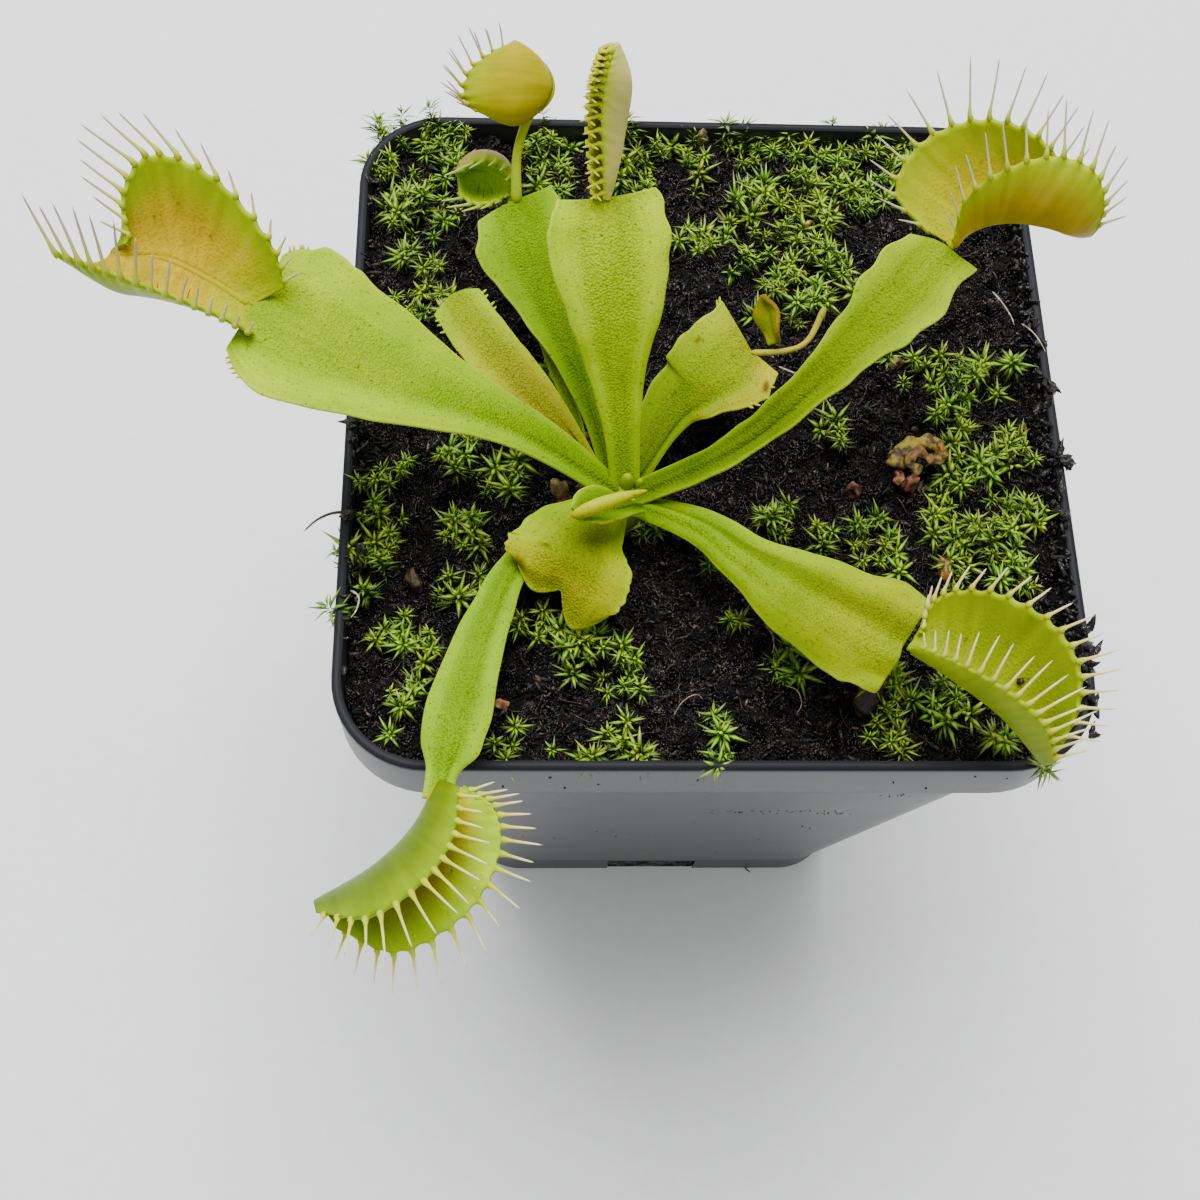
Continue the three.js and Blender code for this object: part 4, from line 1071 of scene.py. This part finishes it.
def make_pot():
    """The pot's shell, built of rings from its foot up to the lip and down inside to its floor."""
    foot = [(FOOT_STEP + 0.2, 0.0), (FOOT_STEP, 0.2), (FOOT_STEP, FOOT_TALL - 0.3), (0.0, FOOT_TALL)]
    lip = [
        (0.55, BAND), (0.15, BAND + 0.1), (0.05, BAND + 0.4), (0.12, BAND + 1.0),
        (0.05, POT_HEIGHT - 0.45), (0.12, POT_HEIGHT - 0.2), (0.3, POT_HEIGHT - 0.06),
        (WALL / 2, POT_HEIGHT), (WALL - 0.3, POT_HEIGHT - 0.06), (WALL - 0.08, POT_HEIGHT - 0.2),
        (WALL, POT_HEIGHT - 0.6), (WALL, BAND + WALL + 0.3),
    ]
    levels = [(*wall_at(FOOT_TALL, inset), z) for inset, z in foot]
    levels += [(*wall_at(z), z) for z in (BAND / 2, BAND - 0.3)]
    levels += [(*rim_at(inset), z) for inset, z in lip]
    levels += [
        (*wall_at(BAND, WALL), BAND + WALL),
        (*wall_at(BAND / 2, WALL), BAND / 2),
        (*wall_at(FLOOR, WALL + 0.4), FLOOR + 0.1),
        (*wall_at(FLOOR, WALL + 1.0), FLOOR),
    ]
    bm = bmesh.new()
    rings = [outline_ring(bm, *level) for level in levels]
    for lower, upper in zip(rings, rings[1:]):
        bmesh.ops.bridge_loops(bm, edges=lower + upper)
    bmesh.ops.holes_fill(bm, edges=rings[0] + rings[-1], sides=0)
    pot = finish_piece(bm, "pot_shell", PLASTIC, "black_pot", "pot")
    cut_openings(pot)
    pot.data.set_sharp_from_angle(angle=math.radians(40))


def foot_block(bm, quarter, size, out, up):
    """A block across the middle of one side of the foot, moved out from its face and up."""
    width, depth, _ = wall_at(FOOT_TALL, FOOT_STEP)
    face = (width if quarter % 2 else depth) / 2
    block = bmesh.ops.create_cube(bm, size=1.0)["verts"]
    bmesh.ops.scale(bm, vec=Vector(size), verts=block)
    bmesh.ops.translate(bm, verts=block, vec=Vector((0, face + out, up)))
    turn = Euler((0, 0, quarter * math.pi / 2)).to_matrix()
    bmesh.ops.rotate(bm, verts=block, cent=Vector(), matrix=turn)


def openings():
    """Four round drain holes and, through each side of the foot, a drain notch, as one shape."""
    bm = bmesh.new()
    for x in (-DRAIN_OFFSET, DRAIN_OFFSET):
        for y in (-DRAIN_OFFSET, DRAIN_OFFSET):
            hole = bmesh.ops.create_cone(
                bm, cap_ends=True, segments=32, radius1=DRAIN_RADIUS, radius2=DRAIN_RADIUS,
                depth=4 * FLOOR,
            )["verts"]
            bmesh.ops.translate(bm, verts=hole, vec=Vector((x, y, 0)))
    for quarter in range(4):
        foot_block(bm, quarter, (NOTCH_WIDTH, 2 * NOTCH_DEEP, 2 * NOTCH_HEIGHT), 0, 0)
    bmesh.ops.scale(bm, vec=Vector((MM, MM, MM)), verts=bm.verts)
    return as_mesh(bm, "openings")


def cut_openings(pot):
    tool = new_object("openings", openings())
    cut = pot.modifiers.new("openings", "BOOLEAN")
    cut.operation = "DIFFERENCE"
    cut.solver = "EXACT"
    cut.object = tool
    seen = bpy.context.evaluated_depsgraph_get()
    finished = bpy.data.meshes.new_from_object(pot.evaluated_get(seen))
    pot.modifiers.clear()
    pot.data = finished
    bpy.data.objects.remove(tool)


# Soil
def chunk(place, size):
    """Rounded lumps of uneven height packed side by side, each about one size across."""
    distances, points = noise.voronoi(place / size)
    height = 0.35 + 0.65 * noise.cell(points[0] * 9.7)
    return height * math.sqrt(max(1 - (distances[0] / 0.85) ** 2, 0))


def soil_top(x, y):
    """The height of the soil's surface at a place."""
    gentle = math.sin(x / 6 + 1) * math.cos(y / 7) + 0.5 * math.sin((x + 2 * y) / 9)
    place = Vector((x, y, 0))
    warp = Vector((noise.noise(place * 0.9), noise.noise(place * 0.9 + UP * 9), 0)) * 0.7
    lumps = 1.0 * noise.noise(place * 0.33) + 0.7 * noise.noise(place * 0.8 + UP * 4)
    rough = 1.7 * chunk(place + warp, 2.6) + 0.9 * chunk(place + warp + UP * 3, 1.15)
    bank = 0.9 * smooth((x - 20) / 14)
    return SOIL_LEVEL - 1.6 + 0.4 * gentle + lumps + rough + bank


def wall_gap(x, y):
    """How far a place on the soil is from the pot's inner wall."""
    half_x = RIM_WIDTH / 2 - WALL
    half_y = RIM_DEPTH / 2 - WALL
    corner = RIM_CORNER - WALL
    dx = abs(x) - (half_x - corner)
    dy = abs(y) - (half_y - corner)
    if dx > 0 and dy > 0:
        return corner - math.hypot(dx, dy)
    return min(half_x - abs(x), half_y - abs(y))


def soil_edge(x, y):
    """The soil's height near the wall, where it stays below the lip."""
    top = soil_top(x, y)
    near = smooth(1 - wall_gap(x, y) / SOIL_MARGIN)
    ceiling = POT_HEIGHT - 1.8 + 1.4 * smooth((x - 26) / 8)
    return top + (min(top, ceiling) - top) * near


def make_soil():
    bm = bmesh.new()
    half_x = RIM_WIDTH / 2 - WALL - GAP
    half_y = RIM_DEPTH / 2 - WALL - GAP
    corner = RIM_CORNER - WALL
    top = grid_verts(bm, SOIL_CELLS, SOIL_CELLS)
    bound = [edge for edge in bm.edges if edge.is_boundary]
    for vert in top:
        x = vert.co.x * 2 * half_x
        y = vert.co.y * 2 * half_y
        u = (abs(x) - (half_x - corner)) / corner
        w = (abs(y) - (half_y - corner)) / corner
        if u > 0 and w > 0:
            x = math.copysign(half_x - corner + corner * u * math.sqrt(1 - w * w / 2), x)
            y = math.copysign(half_y - corner + corner * w * math.sqrt(1 - u * u / 2), y)
        vert.co = Vector((x, y, soil_edge(x, y)))
    for z, level in ((BAND + WALL + 0.2, rim_at(WALL + GAP)), (BAND, wall_at(BAND, WALL + GAP)),
                     (FLOOR + GAP, wall_at(FLOOR, WALL + GAP))):
        grown = bmesh.ops.extrude_edge_only(bm, edges=bound)["geom"]
        lower = new_verts(grown)
        bound = [item for item in grown if isinstance(item, bmesh.types.BMEdge)]
        width = max(abs(vert.co.x) for vert in lower)
        depth = max(abs(vert.co.y) for vert in lower)
        for vert in lower:
            vert.co.x *= level[0] / 2 / width
            vert.co.y *= level[1] / 2 / depth
            vert.co.z = z
    bmesh.ops.holes_fill(bm, edges=bound, sides=0)
    # Dark peat blocks set in the drain notches: painted shade standing in for the dark hollow behind each
    # notch
    notch_shade = (NOTCH_WIDTH - 2 * GAP, NOTCH_SHADE_DEEP, NOTCH_HEIGHT - 2 * GAP)
    for quarter in range(4):
        foot_block(bm, quarter, notch_shade, NOTCH_SHADE_DEEP / 2 - NOTCH_DEEP + 0.05, NOTCH_HEIGHT / 2)
    finish_piece(bm, "soil_bed", PEAT, "soil", "soil")


def crumb_shape(draw, detail=1):
    """A small angular lump, one millimetre across, as a shape to copy."""
    bm = new_shell()
    bmesh.ops.create_icosphere(bm, subdivisions=detail, radius=0.5)
    squash = Vector((draw.uniform(1.0, 2.8), draw.uniform(0.4, 0.8), draw.uniform(0.3, 0.7)))
    for vert in bm.verts:
        vert.co *= draw.uniform(0.72, 1.25)
        vert.co *= 1 + 0.3 * noise.noise(vert.co * 3 + Vector((draw.random(), 0, 0)))
    colour(bm, bm.verts, (1, 1, 1))
    bmesh.ops.scale(bm, vec=squash, verts=bm.verts)
    return as_mesh(bm, "crumb")


def drop(shapes):
    """Removes shapes that have been copied everywhere they are needed."""
    for shape in shapes:
        bpy.data.meshes.remove(shape)


def make_crumbs():
    """Loose crumbs of peat and bark over the soil, and clods that hang over the rim."""
    draw = random.Random(41)
    shapes = [crumb_shape(draw) for _ in range(9)]
    hues = palette("#0a0807 #120e0b #1b1511 #2c2019 #46342a #6e5a4c")
    bm = new_shell()
    for _ in range(CRUMBS):
        x = draw.uniform(-SOIL_REACH[0], SOIL_REACH[0])
        y = draw.uniform(-SOIL_REACH[1], SOIL_REACH[1])
        if wall_gap(x, y) < CRUMB_CLEAR:
            continue
        size = 0.28 + 0.7 * draw.random() ** 4
        place = Vector((x, y, soil_edge(x, y) + 0.15 * size))
        hue = ramp(hues, draw.random() ** 6 + (0.05 if x > 20 else 0))
        lay(bm, draw.choice(shapes), place, any_turn(draw), size, hue)
    for _ in range(RIM_CRUMBS):
        side = 1 if draw.random() < 0.75 else -1
        lift = draw.uniform(-0.6, 0.1)
        place = Vector((side * draw.uniform(35.4, 37.1), draw.uniform(-31, 31), POT_HEIGHT + lift))
        hue = ramp(hues, 0.4 * draw.random() ** 2)
        lay(bm, draw.choice(shapes), place, any_turn(draw), draw.uniform(0.4, 1.0), hue)
    clods = [crumb_shape(draw, 2) for _ in range(3)]
    for x, y, z, size in RIM_CLODS:
        for _ in range(3):
            place = Vector((x, y, z)) + any_vector(draw, -0.4 * size, 0.4 * size)
            hue = ramp(hues, 0.35 * draw.random())
            lay(bm, draw.choice(clods), place, any_turn(draw), 1.1 * size, hue)
    drop(shapes + clods)
    finish_piece(bm, "loose_crumbs", LOOSE_PEAT, "soil")


def add_fibre(bm, points, radius, codes, steps=12):
    tube(bm, rail(points), lambda t: radius * (1 - 0.6 * t), 4, steps, palette(codes))


def make_fibres():
    """Root hairs and peat fibres that lie over the crumbs and stick out at the rim."""
    draw = random.Random(43)
    bm = new_shell()
    for _ in range(FIBRES):
        x = draw.uniform(-34, 34)
        y = draw.uniform(-35, 35)
        turn = draw.uniform(0, math.tau)
        reach = draw.uniform(0.8, 3.2)
        points = []
        for k in range(4):
            turn += draw.uniform(-0.6, 0.6)
            x, y = held(x + reach / 3 * math.cos(turn), y + reach / 3 * math.sin(turn), FIBRE_REACH)
            points.append((x, y, soil_edge(x, y) + draw.uniform(0.0, 0.5)))
        codes = draw.choice(["#120d0a #2a1e16", "#0a0807 #1c1510", "#0a0807 #3c2c20"])
        add_fibre(bm, points, draw.uniform(0.07, 0.17), codes, 5)
    for radius, codes, points in (
        (0.13, "#a89e8c #c4bcac",
         [(32.6, 16.5, 88.6), (33.4, 14.6, 89.2), (34.2, 12.6, 89.3), (34.6, 11.8, 88.8)]),
        (0.1, "#a89e8c #c4bcac",
         [(35.3, 12.2, 88.8), (36.2, 10.6, 89.6), (36.9, 9.0, 89.8), (37.4, 7.8, 89.6)]),
        (0.14, "#c8c0b0 #e0dacc",
         [(-36.6, -20.2, 88.6), (-35.6, -21.2, 89.3), (-35.7, -22.6, 89.4), (-36.4, -23.4, 88.7)]),
        (0.2, "#2a1e16 #4a3626",
         [(-36.0, -11.9, 88.9), (-38.2, -12.4, 90.2), (-40.0, -13.2, 90.2), (-41.4, -14.4, 89.8)]),
        (0.1, "#5c4c40 #8a7c6c",
         [(-4.6, -33.6, 88.2), (-3.6, -32.0, 88.7), (-2.2, -31.2, 88.7), (-1.4, -31.6, 88.2)]),
        (0.08, "#6c5c4c #94887a",
         [(6.6, -30.0, 88.2), (7.8, -30.8, 88.9), (8.2, -32.2, 88.7), (7.6, -33.2, 88.2)]),
        (0.12, "#a49c84 #c0b89c",
         [(8.0, 6.4, 88.6), (9.4, 5.2, 89.4), (11.0, 4.6, 89.3), (12.2, 4.8, 88.8)]),
        (0.13, "#7a6a54 #a49478",
         [(5.0, -23.6, 88.4), (5.6, -24.8, 89.0), (5.8, -26.0, 88.8), (5.6, -26.8, 88.3)]),
        (0.18, "#2a1e16 #4a3626",
         [(13.4, -26.4, 0.3), (14.2, -27.6, 0.4), (14.8, -28.6, 0.5), (15.3, -29.2, 0.9)]),
    ):
        add_fibre(bm, points, radius, codes)
    finish_piece(bm, "loose_fibres", LOOSE_PEAT, "soil")


# Moss
def add_leaflet(bm, heart, direction, length, width, droop, hues):
    """One pointed moss leaf: a three-sided sliver, widest a third of the way out."""
    made = bmesh.ops.create_cone(
        bm, cap_ends=False, segments=3, radius1=width, radius2=width, depth=1.0,
    )["verts"]
    low = [vert for vert in made if vert.co.z < 0]
    high = [vert for vert in made if vert.co.z > 0]
    side = direction.cross(UP).normalized()
    over = side.cross(direction)
    for vert in high:
        flat = side * vert.co.x + over * (vert.co.y * 0.4)
        vert.co = heart + direction * (0.36 * length) + flat + UP * (0.07 * length)
    for vert in low:
        vert.co = heart.copy()
    rim = {edge for vert in high for edge in vert.link_edges if edge.other_vert(vert) in high}
    tips = new_verts(bmesh.ops.extrude_edge_only(bm, edges=list(rim))["geom"])
    for vert in tips:
        vert.co = heart + direction * length - UP * droop
    for verts, hue in zip((low, high, tips), hues):
        colour(bm, verts, hue)
    bmesh.ops.remove_doubles(bm, verts=low + tips, dist=0.001)


def tuft_shape(draw):
    """A star of moss with its head at the middle, one millimetre in reach, as a shape to copy."""
    bm = new_shell()
    # Each ring sits lower than the next and is coloured darker: painted shade beneath the rings above
    for count, depth, rise, reach, codes in (
        (4, -0.5, (-0.2, 0.3), 1.0, "#2a4602 #446a04 #7c9434"),
        (6, -0.2, (0.0, 0.5), 1.2, "#5c8a02 #749f04 #a8ba54"),
        (3, 0, (0.7, 1.5), 0.7, "#98bc04 #8cb204 #b8c858"),
    ):
        start = draw.uniform(0, math.tau)
        for k in range(count):
            turn = start + math.tau * (k + draw.uniform(-0.3, 0.3)) / count
            direction = Vector((math.cos(turn), math.sin(turn), draw.uniform(*rise))).normalized()
            length = reach * draw.uniform(0.6, 1.2)
            heart = UP * (depth + draw.uniform(-0.1, 0.1))
            width = draw.uniform(0.1, 0.14)
            add_leaflet(bm, heart, direction, length, width, draw.uniform(-0.15, 0.2), palette(codes))
    return as_mesh(bm, "tuft")


def lay_shoot(bm, draw, shapes, x, y):
    """Lays a shoot's head over x, y, and gives the two ends of its stem, rooted inside the pot."""
    lean = Vector((draw.uniform(-1, 1), draw.uniform(-1, 1)))
    foot = Vector((*held(x - lean.x, y - lean.y, MOSS_REACH), 0))
    ground = soil_edge(foot.x, foot.y)
    over = max((Vector((x, y, 0)) - foot).length - lean.length, 0)
    head = Vector((x, y, ground + draw.uniform(*SHOOT_RISE) + 0.6 * over))
    foot.z = ground - 0.3
    turn = UP.rotation_difference((head - foot).normalized()).to_matrix()
    spin = Euler((draw.uniform(-0.3, 0.3), draw.uniform(-0.3, 0.3), draw.uniform(0, 6.28))).to_matrix()
    light = draw.uniform(0.68, 1.15)
    hue = Vector((light * draw.uniform(0.85, 1.15), light, light * draw.uniform(0.7, 1.3)))
    size = 1.2 + 1.4 * draw.random() ** 1.3
    # The two lower heads of each shoot are laid dimmer, at 0.3 and 0.55: painted shade beneath the top head
    for rise, grown, dim in ((0.35, 0.75, 0.3), (0.7, 0.85, 0.55), (1.0, 1.0, 0.92)):
        lay(bm, draw.choice(shapes), foot.lerp(head, rise), turn @ spin, grown * size, hue * dim)
    return foot, head


def make_moss(name, seed, clumps, shapes):
    """One patch: every head is laid before the first stem, so that the newest points come last."""
    draw = random.Random(seed)
    bm = new_shell()
    stems = []
    for x, y, spread, count in clumps:
        tufts = int(count * MOSS_DENSITY)
        for i in range(tufts):
            turn = i * 2.4 + draw.uniform(-0.4, 0.4)
            out = spread * math.sqrt((i + 0.5) / tufts)
            shift = 0.35 * min(spread, 1)
            across = x + out * math.cos(turn) + draw.uniform(-shift, shift)
            back = y + out * math.sin(turn) + draw.uniform(-shift, shift)
            stems.append(lay_shoot(bm, draw, shapes, across, back))
    hues = palette("#2c3c06 #4c6a08")
    for stem in stems:
        tube(bm, rail(stem), lambda t: STEM_RADIUS, 4, 3, hues)
    finish_piece(bm, name + "_stars", MOSS_LEAF, "moss", name)


def make_all_moss():
    draw = random.Random(37)
    shapes = [tuft_shape(draw) for _ in range(MOSS_SHAPES)]
    for name, (seed, clumps) in MOSS.items():
        make_moss(name, seed, clumps, shapes)
    drop(shapes)


# Crown and litter
def make_crown():
    """The crown's round head, and two leaf buds that start from it."""
    bm = new_shell()
    hues = palette("#4c4c14 #6c7c10 #88a010")

    def curve(t):
        return CROWN + UP * (CROWN_FOOT + (CROWN_TOP - CROWN_FOOT) * t)

    def radius(t):
        return CROWN_RADIUS * math.sqrt(max(1 - t ** 5, 0.0))

    tube(bm, curve, radius, 24, 30, hues, Vector((0, 1, 0)))
    for x, y, z, size in ((-8.7, -8.9, 91.6, 0.75), (-7.4, -9.0, 91.0, 0.5)):
        start = Vector((x, y, z - 1.6))
        end = Vector((x, y, z + size))
        tube(bm, lambda t: start.lerp(end, t), lambda t: size * math.sin(math.pi * (0.35 + 0.65 * t)) ** 0.5,
             12, 12, lambda t: ramp(hues, 0.5 + t))
    finish_piece(bm, "crown_head", PETIOLE_SKIN, "crown", "crown")


def add_lump(bm, place, size, codes, shape, draw):
    """An uneven dried lump, stretched by shape and turned any way."""
    shade = bm.verts.layers.float_color["tint"]
    hues = palette(codes)
    made = bmesh.ops.create_icosphere(bm, subdivisions=3, radius=0.5 * size)["verts"]
    offset = any_vector(draw, 0, 20)
    turn = any_turn(draw)
    for vert in made:
        wave = noise.noise(vert.co * (3 / size) + offset)
        vert[shade] = (*ramp(hues, 0.5 + 0.9 * wave), 0.0)
        grown = vert.co * (1 + 0.6 * wave) * Vector(shape)
        vert.co = Vector(place) + turn @ grown


def make_fallen_trap():
    """A dried trap curled up on the soil, with red-brown crumbling bits beside it."""
    draw = random.Random(47)
    bm = new_shell()
    hues = palette("#74680c #90800c #8a7410 #704410 #8c7c10")
    z = SOIL_LEVEL + 1.3
    curl = [
        (19.9, -5.6, z - 0.2), (20.6, -3.9, z + 0.5), (22.4, -3.0, z + 0.8), (24.3, -3.0, z + 0.6),
        (25.0, -4.2, z + 0.2), (23.8, -5.0, z + 0.7), (22.2, -4.4, z + 1.2), (21.3, -5.4, z + 0.8),
        (22.6, -6.3, z + 0.2),
    ]

    def radius(t):
        return 0.78 * (1 + 0.8 * noise.noise(Vector((17 * t, 0, 3)))) * (1.1 - 0.4 * t)

    tube(bm, rail(curl), radius, 12, 90, hues, UP, 0.5)
    add_lump(bm, (24.7, -3.4, z + 0.4), 1.3, "#8c5410 #b8801c", (1, 0.9, 0.8), draw)
    add_lump(bm, (21.5, -7.4, z - 0.3), 2.0, "#4a2a18 #8a5230", (1.2, 1, 0.7), draw)
    add_lump(bm, (20.3, -6.6, z - 0.4), 1.5, "#5a3420 #94603c", (1.3, 0.8, 0.7), draw)
    finish_piece(bm, "fallen_trap_curl", DRIED, "withered", "fallen_trap")


def make_litter():
    """Seeds, chips and dry scraps that lie about on the soil."""
    draw = random.Random(53)
    bm = new_shell()
    for (x, y), size, codes, shape, lift in (
        ((-12.6, -1.8), 1.9, "#3c1c10 #9c6848 #c49878", (1.2, 0.8, 0.7), 1.2),
        ((-21.3, -31.6), 1.6, "#6c4424 #a87c54", (1.5, 0.8, 0.7), 0.6),
        ((15.8, -7.4), 1.7, "#3c2014 #7c5238", (1.2, 0.9, 0.8), 0.5),
        ((24.4, -16.8), 1.9, "#6c4414 #b08434", (0.8, 1.3, 0.8), 0.9),
        ((12.8, 26.2), 1.6, "#6a3c18 #b07840", (1.4, 0.8, 0.6), 0.8),
        ((-30.4, -18.2), 2.2, "#2c1c0c #4c3c18", (1.2, 1, 0.6), 0.4),
        ((-26.6, -39.0), 1.7, "#5c2c0c #a05c20", (0.8, 1.4, 0.7), 1.9),
        ((-15.4, -9.4), 2.4, "#4c3818 #8a7440", (1.6, 0.8, 0.5), 1.4),
        ((-13.4, -8.2), 1.5, "#4c3818 #7c6838", (1.5, 0.8, 0.5), 1.6),
        ((15.2, -31.0), 2.6, "#1c1410 #3c2c24", (1.5, 1, 0.6), 0.3),
        ((16.2, -29.6), 0.9, "#6c3c24 #a06848", (1.5, 1, 0.6), 0.9),
        ((21.5, 8.2), 2.2, "#4c4420 #6c6434", (1.5, 1, 0.6), 0.3),
        ((1.2, 37.6), 1.8, "#4c4424 #7c7444", (1.4, 0.8, 0.6), 0.7),
        ((34.6, -0.4), 1.2, "#5c4434 #8c7058", (1.4, 0.8, 0.6), 0.5),
    ):
        ground = soil_edge(*held(x, y, SOIL_REACH))
        add_lump(bm, (x, y, ground + lift), size, codes, shape, draw)
    finish_piece(bm, "litter", DRIED, "withered")


def make_wall_specks():
    """Grains of dried soil stuck to the front of the pot."""
    draw = random.Random(59)
    shape = crumb_shape(draw)
    dark = linear("#0c0a09")
    bm = new_shell()
    for x0, x1, z0, z1, count in (
        (2, 20, 55, 58, 44), (20, 24, 68, 70, 6), (-17, -8, 71, 80, 8), (-30, 30, 82, 87, 9),
        (-20, 20, 8, 50, 14),
    ):
        for _ in range(count):
            x = draw.uniform(x0, x1)
            z = draw.uniform(z0, z1)
            level = rim_at(0.05) if z > BAND else wall_at(z, 0.03)
            place = Vector((x, -level[1] / 2, z))
            lay(bm, shape, place, any_turn(draw), draw.uniform(0.2, 0.38), dark)
    drop([shape])
    finish_piece(bm, "wall_specks", LOOSE_PEAT, "soil")


def make_dark_dot():
    """The dark dot inside the south-east trap: a speck of digested prey."""
    bm = new_shell()
    trap = TRAPS["leaf_south_east"]
    surface = lobe_surface(rail(trap["rib"]), trap["left"], -1)
    place = surface(0.62, 0.28) + Vector((0.1, 0.0, 0.5))
    add_lump(bm, place, 0.8, "#1c0c04 #2c1408", (1, 1, 0.8), random.Random(61))
    finish_piece(bm, "prey_speck", DRIED, "withered")


# Stage
def make_floor():
    bm = bmesh.new()
    bmesh.ops.create_grid(bm, x_segments=2, y_segments=2, size=FLOOR_REACH)
    floor = new_object("studio_floor", as_mesh(bm, "studio_floor"))
    floor.data.materials.append(studio_paper())


def make_light():
    """One large soft lamp, high up behind the pot."""
    data = bpy.data.lights.new("overhead", "AREA")
    data.shape = "SQUARE"
    data.size = LAMP_SIZE
    data.energy = LAMP_POWER
    lamp = new_object("overhead", data)
    lamp.location = LAMP_PLACE
    lamp.rotation_euler = (Vector(LAMP_TARGET) - lamp.location).to_track_quat("-Z", "Y").to_euler()


def make_world():
    world = bpy.data.worlds.new("soft_daylight")
    world.use_nodes = True
    tree = world.node_tree
    tree.nodes.clear()
    sky = add(tree, "ShaderNodeBackground", {"Color": (1, 1, 1, 1), "Strength": SKY_STRENGTH})
    add(tree, "ShaderNodeOutputWorld", {"Surface": sky.outputs["Background"]})
    bpy.context.scene.world = world


def make_camera():
    data = bpy.data.cameras.new("photo_view")
    data.sensor_width = 36
    data.lens = CAMERA_LENS
    data.clip_start = 0.01
    camera = new_object("photo_view", data)
    camera.location = CAMERA_PLACE
    camera.rotation_euler = [math.radians(turn) for turn in CAMERA_TURN]
    bpy.context.scene.camera = camera


make_camera()
make_pot()
make_wall_specks()
make_soil()
make_crumbs()
make_fibres()
make_crown()
for leaf_name, leaf_form in LEAVES.items():
    make_leaf(leaf_name, leaf_form)
make_all_moss()
make_fallen_trap()
make_litter()
make_dark_dot()
make_floor()
make_world()
make_light()
